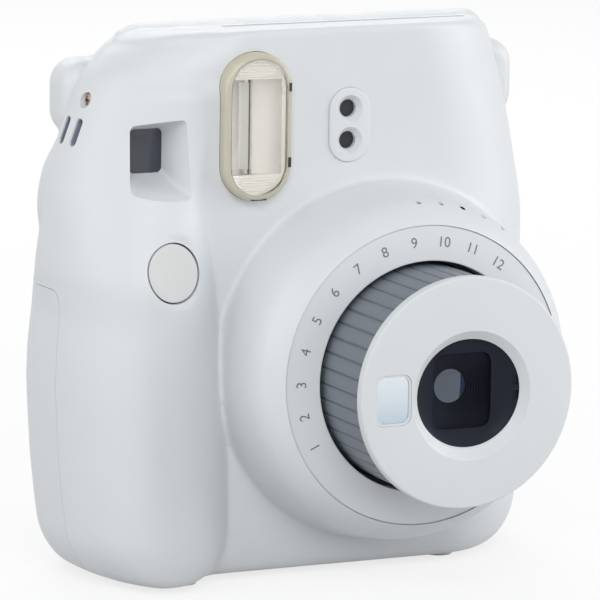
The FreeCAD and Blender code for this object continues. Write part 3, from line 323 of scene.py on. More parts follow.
RIGHT_LINE = batten([74.0, 78.5, 82.1, 85.6, 89.2, 93.5, 104.0, 113.8, 115.7, 117.5, 119.0],
                    [58.0, 57.4, 56.8, 56.0, 55.4, 54.6, 52.2, 49.5, 48.7, 47.9, 47.0])
LEFT_LINE = batten([5, 12, 18, 25, 34, 42, 48.5, 53.7, 58, 62, 66.9, 70.7, 74.5, 84.1, 92, 95.3, 99.4, 102.9,
                    106.3, 108.6, 110.6, 112.4, 114, 115.2, 116.2, 117.2, 118.3],
                   [-54.4, -55.3, -56.1, -56.9, -57.5, -57.9, -57.8, -57.4, -57.1, -57.3, -57.6, -57.2, -56.6,
                    -55.5, -53.3, -52.2, -50.8, -49.8, -48.5, -47.5, -46.0, -44.1, -42.5, -40.9, -39.3, -37.5,
                    -35.0], 6)
REAR_LINE = batten([5, 12, 18, 25, 34, 42, 48.5, 53.7, 58, 62, 65.3, 69.2, 72.5, 75.5, 78, 82, 86, 88.5, 91, 93,
                    95, 100, 105, 110, 112.4, 114, 115.2, 116.2, 117.2, 118.3],
                   [-54.4, -55.3, -56.1, -56.9, -57.5, -57.9, -57.7, -57.2, -56.7, -56.4, -56.1, -55.6, -55.0,
                    -55.3, -55.7, -55.5, -54.6, -53.7, -52.2, -51.2, -50.4, -49.2, -47.3, -44.9, -42.4, -40.8,
                    -39.2, -37.6, -35.8, -33.3], 4)


def right_wall(z):
    return float(np.interp(z, HEIGHTS, RIGHT_LINE))


def left_wall(z, rear):
    return float(np.interp(z, HEIGHTS, REAR_LINE if rear else LEFT_LINE))


def grip_depth(offset, width):
    """How far the grip's surface stands from the face, offset millimetres from the left wall."""
    if offset < GRIP_APEX:
        share = offset / GRIP_APEX
        return (GRIP_REACH + SIDE_DEPTH) * (1 - (1 - share) ** 2.2) ** (1 / 2.2) - SIDE_DEPTH
    share = min((offset - GRIP_APEX) / (width - GRIP_APEX), 1.0)
    return GRIP_REACH * (1 - share ** 2.6)


def plain_depth(offset):
    """The same without a grip: a quarter ellipse that meets the flat face."""
    share = min(offset / PLAIN_RUN, 1.0)
    return -SIDE_DEPTH * (1 - math.sqrt(max(0.0, 1 - (1 - share) ** 2)))


def quarter(count):
    """Angles of a quarter turn, without the last one."""
    return [math.pi / 2 * step / count for step in range(count)]


def section(z, rear=False):
    """Closed ring of points round the body at one height, as an array of x and y."""
    left, right = left_wall(z, rear), right_wall(z)
    strength = 1 - ease(z, 62.0, 96.0)
    crease = CREASE_X - CREASE_BEND * max(z - 10.0, 0) ** 2
    width = max(crease, left + 26.0) - left
    points = []
    for step in range(56):
        share = step / 56
        offset = width * (share * share * (1.6 - 0.6 * share))
        depth = strength * grip_depth(offset, width) + (1 - strength) * plain_depth(offset)
        setback = 1.5 * ease(z, 104.5, 108.0) * (1 - ease(left + offset, -31.0, -19.0))
        points.append((left + offset, FACE - depth + setback * ease(offset, 2.0, 12.0)))
    start, end = left + width, right - FRONT_CORNER
    points += [(start + (end - start) * step / 24, FACE) for step in range(24)]
    points += [(end + FRONT_CORNER * math.sin(angle), FACE + FACE_RUN * (1 - math.cos(angle)))
               for angle in quarter(40)]
    start, end = right - REAR_CORNER, left + GRIP_CORNER
    points += [(start + REAR_CORNER * math.cos(angle), BACK - REAR_CORNER * (1 - math.sin(angle)))
               for angle in quarter(16)]
    points += [(start + (end - start) * step / 32, BACK) for step in range(32)]
    points += [(end - GRIP_CORNER * math.sin(angle), BACK - GRIP_CORNER * (1 - math.cos(angle)))
               for angle in quarter(28)]
    return np.array(points)


def outward(ring):
    """Unit normals of a ring of points."""
    along = np.roll(ring, -1, 0) - np.roll(ring, 1, 0)
    normal = np.stack([along[:, 1], -along[:, 0]], 1)
    return normal / np.maximum(np.linalg.norm(normal, axis=1), 1e-9)[:, None]


CROWN_Y = np.linspace(-14.0, 46.0, 241)
CROWN_DROP = np.interp(CROWN_Y, [-14, 0, 19.5, 21.4, 23.0, 25.5, 29.8, 34.0, 38.4, 40.6, 42.0, 46.0],
                       [0, 0, 1.9, 1.9, 1.2, 0.8, 2.2, 4.4, 7.8, 10.8, 14.0, 18.0])
SOFTEN = np.exp(-np.linspace(-2.5, 2.5, 11) ** 2)
CROWN_DROP = np.convolve(np.pad(CROWN_DROP, 5, mode="edge"), SOFTEN / SOFTEN.sum(), mode="valid")


def crown(y, z):
    """Lowers the top so that it falls from the ridge, dips at the film slit and rolls over the back."""
    weight = np.clip((z - CROWN_START) / (TOP - CROWN_START), 0, 1)
    return z - weight * weight * (3 - 2 * weight) * np.interp(y, CROWN_Y, CROWN_DROP)


def shell_form(name, rear=False, inset=0.0):
    """Closed solid of the body. inset moves every wall inwards."""
    rings = []
    base, top = BASE + inset, TOP - inset

    def add_ring(at, inwards, height):
        ring = section(at, rear)
        rings.append(np.column_stack([ring - outward(ring) * inwards, np.full(len(ring), height)]))

    for step in range(13, -1, -1):
        angle = math.pi / 2 * step / 14
        tuck = 1 - math.cos(angle)
        z = base + BASE_ROUND * (1 - math.sin(angle))
        add_ring(z, np.array([inset + 8.4 * tuck, inset + 3.4 * tuck]), z)
    for z in np.linspace(base + BASE_ROUND, top - TOP_ROUND, 64)[1:]:
        add_ring(z, inset, z)
    for step in range(1, 11):
        angle = math.pi / 2 * step / 10
        at = top - TOP_ROUND * (1 - step / 10)
        sideways = outward(section(at, rear))[:, 0]
        radius = 1.3 + 1.3 * np.clip(sideways, 0, 1) + 0.9 * np.clip(-sideways, 0, 1)
        add_ring(at, (inset + radius * (1 - math.cos(angle)))[:, None], top - radius * (1 - math.sin(angle)))
    low_caps, high_caps = [
        [edge * (1 - share) + np.column_stack([np.clip(edge[:, 0], -24.0, 32.0) * 0.9, np.full(len(edge), 17.0),
                                               edge[:, 2]]) * share for share in np.linspace(0, 1, 15)[1:]]
        for edge in (rings[0], rings[-1])]
    cloud = np.array(low_caps[::-1] + rings + high_caps)
    cloud[..., 2] = crown(cloud[..., 1], cloud[..., 2])
    return skin_over(name, cloud, doubles=2e-5)


front_form = shell_form("front_form")
print("front form", face_count(front_form), in_mm(front_form.dimensions))

# %% [markdown]
# The round collar flares out of the body with a soft foot. It is spun from its side profile,
# joined to the body and remeshed as one skin, because a moulded shell has no seam there and
# the smoothing leaves the small fillet that a mould has. Crisp cuts come after the smoothing.

# %% Collar, and the front form as one skin


def through(points, count):
    """Smooth curve through points, by a natural cubic spline on chord length."""
    spots = np.array(points, float)
    knots = np.concatenate([[0], np.cumsum(np.linalg.norm(np.diff(spots, axis=0), axis=1))])
    size = len(spots)
    system, right_side = np.zeros((size, size)), np.zeros((size, spots.shape[1]))
    system[0, 0] = system[-1, -1] = 1
    for index in range(1, size - 1):
        before, after = knots[index] - knots[index - 1], knots[index + 1] - knots[index]
        system[index, index - 1:index + 2] = before, 2 * (before + after), after
        right_side[index] = 6 * ((spots[index + 1] - spots[index]) / after
                                 - (spots[index] - spots[index - 1]) / before)
    bend = np.linalg.solve(system, right_side)
    made = []
    for value in np.linspace(0, knots[-1], count):
        index = min(int(np.searchsorted(knots, value, side="right")) - 1, size - 2)
        span = knots[index + 1] - knots[index]
        low, high = (knots[index + 1] - value) / span, (value - knots[index]) / span
        made.append(low * spots[index] + high * spots[index + 1]
                    + ((low ** 3 - low) * bend[index] + (high ** 3 - high) * bend[index + 1]) * span * span / 6)
    return [tuple(spot) for spot in made]


VOXEL, COARSE = (0.5 if FINE else 0.9), 0.9
RIM = -21.35


def one_skin(obj, passes, triangles):
    """Remeshes a joined form as one skin, smooths it and thins it."""
    finish_with(obj, "REMESH", mode="VOXEL", voxel_size=VOXEL * MM, adaptivity=0.0)
    finish_with(obj, "SMOOTH", factor=0.5, iterations=passes if FINE else max(passes // 3, 1))
    now = sum(len(face.vertices) - 2 for face in obj.data.polygons)
    finish_with(obj, "DECIMATE", ratio=min(triangles / now, 1.0))
    return obj


collar_side = through([(30.6, RIM - 1.3), (32.2, RIM - 0.15), (34.2, -19.3), (35.7, -16.8), (37.5, -9.0),
                       (38.8, -1.2), (39.2, 12.0)], 40)
collar = turned("collar", [(0, RIM - 1.3)] + collar_side + [(0, 12.0)], LENS, steps=192, closed=False)
join_solid(front_form, collar)


def lean_face(obj, middle, slope_x=0.18, slope_z=0.24):
    """Slants a piece so that a face across the depth follows the grip's slope."""
    for spot in obj.data.vertices:
        spot.co.y += slope_x * (spot.co.x - middle[0] * MM) + slope_z * (spot.co.z - middle[1] * MM)
    return obj


SHUTTER, SEAT = (-38.2, 68.8), -7.3
shutter_seat = rod("shutter_seat", (SHUTTER[0], SEAT - 3.0, SHUTTER[1]), 11.6, 3.0, sides=128, end_radius=7.1)
carve(front_form, lean_face(shutter_seat, SHUTTER))
one_skin(front_form, passes=12, triangles=110000)
print("front skin", face_count(front_form))

# %% [markdown]
# The rear half carries two soft lobes at its upper corners. They start as boxes with fat rounded
# edges, like small pillows, and are joined and smoothed into the shell in the same way.

# %% Rear form with its lobes
rear_form = shell_form("rear_form", rear=True)
for low, high in (((-50.5, 21.6, 93.2), (-30.0, 34.5, 110.0)), ((34.0, 21.6, 93.0), (56.4, 35.0, 110.6))):
    lobe = box("lobe", low, high, corner=5.5, steps=8)
    join_solid(rear_form, soften(lobe, lambda a, b: abs(a.y - b.y) < 1e-3, 4.2, 6))
one_skin(rear_form, passes=9, triangles=90000)
print("rear skin", face_count(rear_form))

# %% [markdown]
# The two halves meet at a thin parting line, and the battery cover and the film door are cut
# from the same skin, so that their outsides run on without a step. Each cut leaves a fine gap.

# %% Split the skin into shells, cover and door
SEAM, WALL = 0.12, 2.2
half_gap = SEAM / 2


def slab(name, start, end):
    """Wide block from one depth to another."""
    return box(name, (-90, start, -30), (90, end, 160))


def battery_region(name, grow):
    return box(name, (-80, 10.75 - grow, -5), (-38 + grow, 60, 63.2 + grow), corner=2.8, axis="X", steps=6)


battery_cover = copy_of(front_form, "battery_cover_part")
front_shell = front_form
front_shell.name = "front_shell_skin"
inner_front = shell_form("inner_front", inset=WALL)
inner_rear = shell_form("inner_rear", rear=True, inset=WALL)
collar_hollow = turned("collar_hollow", [(0, -14.2), (34.0, -14.2), (36.8, FACE), (36.8, 8.0), (0, 8.0)],
                       LENS, steps=96, closed=False)
join_solid(inner_front, collar_hollow)
for inner in (inner_front, inner_rear):
    finish_with(inner, "REMESH", mode="VOXEL", voxel_size=COARSE * MM)
    finish_with(inner, "DECIMATE", ratio=0.5)

cover_rear = copy_of(rear_form, "cover_rear")
keep_inside(battery_cover, slab("front_zone", -60, PARTING))
keep_inside(cover_rear, slab("rear_zone", PARTING, 90))
join_solid(battery_cover, cover_rear)
keep_inside(battery_cover, battery_region("cover_zone", -half_gap))
for inner in (inner_front, inner_rear):
    carve(battery_cover, inner, keep=True)

carve(front_shell, slab("behind", PARTING - half_gap, 90))
carve(front_shell, battery_region("cover_gap", half_gap))

back_door = copy_of(rear_form, "back_door_part")
keep_inside(back_door, box("door_zone", (-24.5, BACK - 2.4, 5.0), (51.5, 60, 99.0), corner=3.0, axis="Y"))
rear_shell = rear_form
rear_shell.name = "rear_shell_skin"
carve(rear_shell, slab("ahead", -60, PARTING + half_gap))
carve(rear_shell, battery_region("cover_gap", half_gap))
carve(rear_shell, box("door_gap", (-24.6, BACK - 4.4, 4.9), (53.0, 60, 99.1), corner=3.0, axis="Y"))
print("front", face_count(front_shell), "rear", face_count(rear_shell),
      "cover", face_count(battery_cover), "door", face_count(back_door))

# %% [markdown]
# Holes in the face: the round seat of the marking ring, the upright windows of the flash and the
# sensors, the four-sided funnel of the finder, the shutter button's hole in its shallow seat and
# a row of pin-sized lamp windows on the collar. The funnel's wall is trimmed just under the
# outer skin, so that its edge lies flush in the curved face.

# %% Cut the front face


def funnel(name, depth, mouth, throat, corner):
    """Four-sided taper behind the finder's mouth, leaning a little; mouth and throat are (width, height)."""
    start = FACE - 6
    obj = panel(name, MOUTH, (mouth[0] / 2, mouth[1] / 2), (start, start + depth))
    for spot in obj.data.vertices:
        if spot.co.y / MM > start + depth / 2:
            for lane, index in ((0, 0), (2, 1)):
                away = spot.co[lane] / MM - MOUTH[index]
                spot.co[lane] = (MOUTH[index] + LEAN[index] + away * throat[index] / mouth[index]) * MM
    return soften(obj, lambda a, b: abs(a.y - b.y) > 1e-3, corner, 6)


FLASH, FINDER, MOUTH, SENSOR = (-17.4, 98.0), (-39.5, 92.4), (-39.3, 91.9), (4.9, 97.2)
LEAN, FILM_SLIT, STRAP_SLOTS = (1.0, 0.6), (18.7, 20.7), ((14.4, 16.5), (18.7, 20.8))
FIRST_LAMP, LAMP_STEP = 1.3, 8.5
carve(front_shell,
      rod("ring_seat", (LENS_X, RIM - 6, LENS_Z), 32.14, 11.05, sides=192),
      rod("collar_bore", (LENS_X, RIM, LENS_Z), 28.0, 9.0, sides=128),
      panel("flash_hole", FLASH, (7.85, 15.85), (FACE - 8, FACE + 4), corner=7.849, steps=16),
      panel("sensor_hole", SENSOR, (4.85, 8.05), (FACE - 4, FACE + 3), corner=4.849, steps=16))
carve(front_shell, inner_front, keep=True)
finder_wall = funnel("finder_wall", 15.2, mouth=(19.7, 23.1), throat=(9.8, 11.7), corner=1.5)
join_solid(front_shell, keep_inside(finder_wall, shell_form("trim_form", inset=0.6)))
carve(front_shell,
      funnel("finder_mouth", 15.3, mouth=(17.1, 20.5), throat=(7.2, 9.1), corner=1.1),
      rod("shutter_hole", (SHUTTER[0], -20, SHUTTER[1]), 6.33, 24, sides=96),
      box("power_slot", (LENS_X + 31, -14.2, LENS_Z - 2.65), (LENS_X + 43, -4.7, LENS_Z + 2.65), corner=0.6, axis="X"),
      box("film_slot", (LENS_X - 29, FILM_SLIT[0], 108), (LENS_X + 29, FILM_SLIT[1], 130), corner=0.6, axis="Z"))
middle = Matrix.Translation(Vector(LENS) * MM)
for step in range(5):
    lamp_window = rod("lamp_window", (LENS_X, -15.75, LENS_Z + 33), 0.62, 8, axis="Z", sides=32)
    turn = Matrix.Rotation(math.radians(FIRST_LAMP + LAMP_STEP * step), 4, "Y")
    lamp_window.matrix_world = middle @ turn @ middle.inverted()
    carve(front_shell, settle(lamp_window))
print("front shell", face_count(front_shell))

# %% [markdown]
# The rear half is hollow like the front, and takes the eyepiece, the counter window, the hinge
# groove and a screw. Small flat feet under both halves carry the camera.

# %% Hollow and cut the rear half
HINGE = (53.0, 37.0)
COUNTER, REAR_SCREW, SIDE_SCREW = (-31.0, 72.0), (-28.2, 108.0), (15.8, 102.7)
carve(rear_shell, inner_rear, keep=True)
carve(rear_shell,
      rod("hinge_groove", (*HINGE, 4.9), 4.0, 94.2, axis="Z"),
      panel("eyepiece_hole", FINDER, (3.7, 3.2), (20, 60), corner=0.7),
      rod("counter_hole", (COUNTER[0], 20, COUNTER[1]), 3.3, 40),
      rod("screw_hole", (REAR_SCREW[0], 30, REAR_SCREW[1]), 1.7, 30, sides=32),
      box("film_clear", (LENS_X - 29, 18.0, 108), (LENS_X + 29, 21.9, 130), corner=0.3, axis="Z"))
for low, high in ((5.3, 20.1), (84.9, 98.7)):
    lug = rod("lug", (*HINGE, low), 2.8, high - low, axis="Z", sides=48)
    join_solid(lug, box("lug_web", (51.7, 31.4, low + 0.1), (54.3, 37.0, high - 0.1)))
    if low < 10:
        join_solid(lug, box("lug_arm", (52.0, 31.6, 7.0), (55.9, 32.7, 19.8)))
    join_solid(rear_shell, lug)
carve(rear_shell, rod("pin_way", (*HINGE, 4), 1.22, 96, axis="Z", sides=32))
for shell, x, y, height in ((rear_shell, -29.5, 36, 3.5), (rear_shell, 33, 34, 3.5),
                            (front_shell, -31, 3, 4.5), (front_shell, 33, 9, 4.5)):
    join_solid(shell, rod("foot", (x, y, 0.0), 3.0, height, axis="Z", sides=48, end_radius=3.4))


def wall_place(obj, start, way):
    """Where a straight line first meets the object, in millimetres."""
    deselect()
    return obj.ray_cast(Vector(start) * MM, Vector(way))[1] / MM


side_place = wall_place(front_shell, (-80, *SIDE_SCREW), (1, 0, 0))
carve(front_shell,
      rod("side_screw_seat", (side_place.x - 6, *SIDE_SCREW), 1.65, 7.3, axis="X"),
      *[box("strap_slot", (-60, front, 93.0), (-45.0, rear, 98.9), corner=1.04, axis="X")
        for front, rear in STRAP_SLOTS])
tray = settle(copy_of(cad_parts["battery_tray"], "battery_tray_part"))
keep_inside(tray, inner_rear, keep=True)
print("tray", face_count(tray), in_mm(tray.dimensions))
# A grey-blue box behind the strap slots, and liners along their walls, are painted shade: they stand for the dark
# inside of the shell seen through the slots.
strap_shade_pocket = box("strap_shade_pocket", (-49.9, 14.0, 92.0), (-47.4, 21.3, 99.9), corner=0.6, axis="X")
for spot in strap_shade_pocket.data.vertices:
    spot.co.x += 0.34 * (spot.co.z - 96.0 * MM)
for front, rear in STRAP_SLOTS:
    liner = box("strap_shade_liner", (-56.0, front + 0.02, 93.02), (-48.2, rear - 0.02, 98.88), corner=1.02, axis="X")
    carve(liner, box("liner_bore", (-60, front + 0.27, 93.27), (-40, rear - 0.27, 98.63), corner=0.77, axis="X"))
    join_solid(strap_shade_pocket, keep_inside(liner, shell_form("liner_form", inset=0.35)))
print("strap pocket", face_count(strap_shade_pocket), in_mm(strap_shade_pocket.dimensions))
print("rear shell", face_count(rear_shell), "side screw at", in_mm(side_place * MM))

# %% [markdown]
# The film door hangs on a barrel hinge at the lens side's edge. Its plate keeps the curve of the
# back. A window shows the film pack's label side, and a ribbed slider opens it.

# %% Film door
join_solid(back_door,
           rod("hinge_barrel", (*HINGE, 20.3), 3.6, 64.4, axis="Z"),
           box("door_leaf", (49.0, 38.2, 20.3), (HINGE[0], 40.1, 84.7)))
carve(back_door,
      rod("pin_hole", (*HINGE, 10), 1.25, 90, axis="Z", sides=32),
      box("window_hole", (24.0, 30, 40.0), (36.0, 60, 64.0), corner=2.0),
      box("latch_track", (-23.6, 41.3, 50.0), (-15.8, 60, 67.2), corner=1.2))
window = box("pack_window_part", (24.1, 40.2, 40.1), (35.9, 41.6, 63.9), corner=1.9, rim=0.25)
latch = box("door_latch_part", (-22.6, 40.0, 54.0), (-16.8, 42.0, 63.0), corner=1.0, rim=0.35)
carve(latch, *[box("latch_rib", (-24, 41.55, height), (-15, 44, height + 0.7)) for height in (55.6, 57.2, 58.8, 60.4)])
print("door", face_count(back_door), "latch", in_mm(latch.dimensions))

# %% [markdown]
# The marking ring sits in the collar with a hair of a gap. Its face rises to the bore. A soft
# bevel on both rims catches the light, and the marks are thin printed figures that lie on the
# sloping face, so each one is leaned back before it is turned to its place on the round.

# %% Marking ring with its printed scale
RING_IN, RING_OUT, MARKS_AT, DISH = 24.65, 32.1, 28.6, 1.2
ring = turned("brightness_ring_part", rounded([
    (RING_IN, RIM - DISH, 0.35), (RING_OUT, RIM, 0.5), (RING_OUT, RIM + 5.0), (RING_IN, RIM + 5.0)], 5),
    LENS, steps=256)


def ring_point(radius, degrees, lift=0.0):
    """Point on the ring's face, degrees clockwise from upright as seen from the front."""
    angle = math.radians(degrees)
    y = RIM - DISH + (radius - RING_IN) * DISH / (RING_OUT - RING_IN) - lift
    return Vector((LENS_X + radius * math.sin(angle), y, LENS_Z + radius * math.cos(angle)))


FIRST_MARK, MARK_STEP, FIGURE = -118.0, 14.0, 3.1
marks = []
slope = Matrix.Rotation(-math.atan2(DISH, RING_OUT - RING_IN), 4, "X") @ Matrix.Rotation(math.radians(90), 4, "X")
for index in range(12):
    degrees = FIRST_MARK + MARK_STEP * index
    deselect()
    bpy.ops.object.text_add()
    figure = bpy.context.object
    figure.data.body = str(index + 1)
    figure.data.size = FIGURE * MM
    figure.data.extrude = 0.03 * MM
    figure.data.align_x = figure.data.align_y = "CENTER"
    pick(figure)
    bpy.ops.object.convert(target="MESH")
    turn = Matrix.Rotation(math.radians(degrees), 4, "Y") @ slope
    figure.matrix_world = Matrix.Translation(ring_point(MARKS_AT, degrees, 0.01) * MM) @ turn
    settle(figure)
    marks.append(figure)
ring_marks = as_one("ring_marks", marks)
print("ring", face_count(ring), "marks", face_count(ring_marks))

# %% [markdown]
# The lens barrel is a grey tube with fine grooves along it, so that fingers can grip it. The
# grooves are real: a row of points round the tube is pulled in a little at each one.

# %% Barrel tube
GROOVES, TUBE, GROOVE_DEPTH = 44, 23.6, 0.22
POINTS = GROOVES * 8
barrel = rod("barrel_tube_part", (LENS_X, -39.6, LENS_Z), TUBE, 33.6, sides=POINTS)
for spot in barrel.data.vertices:
    angle = math.atan2(spot.co.x / MM - LENS_X, spot.co.z / MM - LENS_Z)
    if round(angle / (2 * math.pi) * POINTS) % 8 == 0:
        middle = Vector((LENS_X * MM, spot.co.y, LENS_Z * MM))
        spot.co = middle + (spot.co - middle) * (TUBE - GROOVE_DEPTH) / TUBE
carve(barrel, rod("tube_bore", (LENS_X, -45, LENS_Z), 22.0, 50, sides=160))
print("barrel", face_count(barrel))

# %% [markdown]
# The front disc closes the barrel. A shallow cone leads to the lens opening, off centre as on the
# real one, and a small mirror for self portraits sits in a rounded pocket beside it.

# %% Front disc and mirror
MIRROR, MIRROR_BULGE, FLATTEN = (LENS_X - 17.2, LENS_Z - 0.45), 0.006, 0.955
cap = turned("front_cap_part", rounded([(0, -42.0), (24.5, -42.0, 0.55), (24.5, -39.6, 0.2), (0, -39.6)], 5),
             LENS, steps=256, closed=False)
mirror_seat = panel("mirror_seat", MIRROR, (4.2, 5.35), (-43, -40.7), corner=2.1)
opening = rod("lens_opening", (LENS_X + 0.8, -45, LENS_Z - 0.3), 12.0, 10, sides=192)
opening.scale.z = FLATTEN
opening.location.z = (1 - FLATTEN) * (LENS_Z - 0.3) * MM
carve(cap,
      turned("cone_seat", [(0, -42.6), (14.2, -42.6), (13.7, -42.0), (11.8, -40.5), (0, -40.5)],
             (LENS_X + 0.9, 0, LENS_Z - 0.6), steps=192, closed=False),
      settle(opening),
      rod("mask_seat", (LENS_X, -40.4, LENS_Z), 15.05, 3, sides=96),
      mirror_seat)
mirror_rim = panel("mirror_rim_part", MIRROR, (4.15, 5.3), (-41.85, -40.75), corner=2.1)
carve(mirror_rim, panel("rim_hole", MIRROR, (3.7, 4.85), (-45, -40), corner=1.7))
mirror = panel("selfie_mirror_part", MIRROR, (3.68, 4.83), (-41.6, -40.8), corner=1.65, steps=10)
with editing(mirror):
    bpy.ops.mesh.subdivide(number_cuts=10)
for spot in mirror.data.vertices:
    away = Vector((spot.co.x / MM - MIRROR[0], spot.co.z / MM - MIRROR[1]))
    if spot.co.y / MM < -41.0:
        spot.co.y += away.length_squared * MIRROR_BULGE * MM
print("cap", face_count(cap), "mirror", face_count(mirror))

# %% [markdown]
# Behind the opening lies a dark mask: a dished funnel that runs from the round opening to a square
# aperture with rounded corners. It is a loft of rings, from round to square.

# %% Lens mask
ROUND = [2 * math.pi * step / 128 for step in range(128)]
DISH_EDGE, APERTURE_BACK, SQUARENESS = -40.38, -38.95, 7.0


def mask_ring(share, y):
    """Ring between a circle and the rounded square aperture; share 0 is the circle."""
    spots = []
    for angle in ROUND:
        across, upright = math.cos(angle), math.sin(angle)
        square = (abs(across / 6.8) ** SQUARENESS + abs(upright / 8.0) ** SQUARENESS) ** (-1 / SQUARENESS)
        reach = 12.4 * (1 - share) + square * share
        spots.append((LENS_X + reach * across, y, LENS_Z + reach * upright))
    return spots


def circle_ring(radius, y):
    return [(LENS_X + radius * math.cos(angle), y, LENS_Z + radius * math.sin(angle)) for angle in ROUND]


dish_rings = [mask_ring(index / 10, DISH_EDGE + 1.25 * math.sin(index / 10 * math.pi / 2) ** 0.9)
              for index in range(11)]
mask = skin_over("lens_mask_part", [circle_ring(15.0, DISH_EDGE), *dish_rings, mask_ring(1.0, APERTURE_BACK),
                                    circle_ring(15.0, APERTURE_BACK)], closed=True)
carve(mask, *[box("notch", (LENS_X + 10.2, -41.4, LENS_Z + low), (LENS_X + 12.6, -39.9, LENS_Z + low + 1.9), corner=0.3)
              for low in (0.7, -2.4)])
print("mask", face_count(mask))

# %% [markdown]
# The baffle is a stair of fine black ribs that stops stray light. The lens behind it bulges. Its
# dark blue colour is painted shade of the dark inside seen through the glass, with the coating's blue cast in it.

# %% Baffle and lenses
STEP_IN, STEP_BACK, THROAT = 0.42, 0.34, 3.6
radius, depth = 8.9, -37.8
stairs = [(22.0, depth), (radius, depth)]
while radius > THROAT:
    stairs += [(radius, depth + STEP_BACK), (radius - STEP_IN, depth + STEP_BACK)]
    radius, depth = radius - STEP_IN, depth + STEP_BACK
stairs += [(radius, -33.35), (radius + 1.6, -33.35), (radius + 1.6, -31.0)]
stairs += [(11.0, -31.0), (11.0, -36.6), (22.0, -36.6)]
baffle = turned("lens_baffle_part", stairs, LENS)


def lens_piece(name, radius, front, back, bulge):
    """Lens with bulging faces, spun from its half profile."""
    shares = [step / 12 for step in range(13)]
    profile = [(radius * share, front - bulge * (1 - share ** 2)) for share in shares]
    profile += [(radius * share, back + bulge * 0.6 * (1 - share ** 2)) for share in reversed(shares)]
    return turned(name, profile, LENS, steps=96, closed=False)


front_lens = lens_piece("front_lens_part", 5.9, -33.0, -31.4, 0.6)
rear_lens = lens_piece("rear_lens_part", 4.4, -28.6, -27.2, 0.5)
print("baffle", face_count(baffle), "lens", face_count(front_lens))

# %% [markdown]
# The flash is a clear plate in a cream, half clear rim, with a bright trough and a thin glass tube
# behind it. Fine ribs above and below the trough are what shows through its ends.

# %% Flash
TROUGH, TROUGH_END, EDGE = 5.5, 10.0, -2.2
TUBE_X, TUBE_END = FLASH[0] - 1.2, 9.9


def arch(half, depth, angles):
    """Points (x, y) of a half-round curve behind the trough's edge."""
    return [(half * math.cos(math.radians(angle)), EDGE + depth * math.sin(math.radians(angle))) for angle in angles]


flash_rim = panel("flash_rim", FLASH, (7.75, 15.75), (-3.8, 1.0), corner=7.7, steps=16)
soften(flash_rim, lambda a, b: max(a.y, b.y) < -3.79, 1.0, 6)
carve(flash_rim, panel("rim_opening", FLASH, (6.5, 14.5), (-6, 3), corner=6.45, steps=16))
flash_cover = panel("flash_window_part", FLASH, (6.46, 14.46), (-3.84, -3.0), corner=6.42, rim=0.18, steps=16)
clips = as_one("flash_clips", [
    panel("clip", (FLASH[0] + x, FLASH[1] + z), half, depth, corner=0.1) for x, z, half, depth in (
        (7.05, 8.3, (0.3, 0.9), (-3.86, -3.3)), (7.05, -7.65, (0.35, 1.05), (-3.86, -3.3)),
        (0.15, -15.2, (1.75, 0.3), (-3.6, -3.2)))]
    + [rod("trigger_wire", (TUBE_X, -1.2, FLASH[1] - TUBE_END), 0.14, 19.6, axis="Z", sides=16)])
outer = TROUGH + 0.6
trough = [(-TROUGH - 0.3, EDGE), *arch(TROUGH, 4.3, range(178, 1, -8)), (TROUGH + 0.3, EDGE),
          (outer, EDGE), *arch(outer, 5.0, range(4, 177, 8)), (-outer, EDGE)]
reflector = skin_over("flash_reflector_part", [[(FLASH[0] + x, y, FLASH[1] + z) for x, y in trough]
                                               for z in (-TROUGH_END, TROUGH_END)])
with editing(reflector, "DESELECT", "EDGE"):
    bpy.ops.mesh.select_non_manifold()
    bpy.ops.mesh.edge_face_add()
face_out(reflector)
reflector_frame = panel("reflector_frame", FLASH, (6.4, 14.3), (-2.3, -1.6), corner=6.3, steps=12)
carve(reflector_frame, panel("frame_hole", FLASH, (TROUGH, TROUGH_END), (-5, 5)))
ribs = []
for end in (-1, 1):
    for index in range(6):
        z = FLASH[1] + end * (10.6 + 0.55 * index)
        half = math.sqrt(6.2 ** 2 - max(abs(z - FLASH[1]) - 8.1, 0) ** 2) - 0.4
        ribs.append(rod("rib", (FLASH[0] - half, -2.3, z), 0.2, 2 * half, axis="X", sides=12))
for end in (-1, 1):
    ribs.append(panel("end_wall", (FLASH[0], FLASH[1] + end * 10.2), (TROUGH, 0.2), (-2.25, 2.0)))
flash_ribs = as_one("flash_ribs", ribs)
flash_glass = rod("flash_tube_part", (TUBE_X, 0.2, FLASH[1] - 9.6), 1.15, 19.2, axis="Z", sides=48)
tube_ends, tube_end_high = [rod("tube_end", (TUBE_X, 0.2, FLASH[1] + z), 1.18, 0.9, axis="Z", sides=48)
                            for z in (-TUBE_END, TUBE_END - 0.9)]
tube_ends.name = "tube_end_low"
join_solid(tube_ends, tube_end_high)
print("flash cover", face_count(flash_cover))

# %% [markdown]
# The sensor plate stands a little proud, with two countersunk holes and dark sensors behind them.
# The finder's glass and eyepiece are small panes with softened edges.

# %% Sensors, finder panes
SENSOR_RISE = 3.4
bezel = panel("sensor_bezel_part", SENSOR, (4.78, 7.98), (FACE - 0.4, 1.2), corner=4.75, steps=16)
soften(bezel, lambda a, b: max(a.y, b.y) < FACE - 0.39, 0.3)
sensors = []
for z in (SENSOR[1] - SENSOR_RISE, SENSOR[1] + SENSOR_RISE):
    carve(bezel, rod("bezel_mouth", (SENSOR[0], FACE - 0.45, z), 3.0, 1.3, sides=96, end_radius=1.9),
          rod("bezel_hole", (SENSOR[0], -5, z), 1.9, 10, sides=96))
    sensors.append(rod("light_sensor", (SENSOR[0], 1.0, z), 2.45, 1.6))
sensors = as_one("light_sensors_part", sensors)
finder_pane = box("finder_glass_part", (-42.6, 8.1, 87.4), (-34.0, 8.9, 97.6), corner=0.4, rim=0.1)
eyepiece = panel("finder_eyepiece_part", FINDER, (3.45, 2.95), (31.8, 38.3), corner=0.6, rim=0.25)
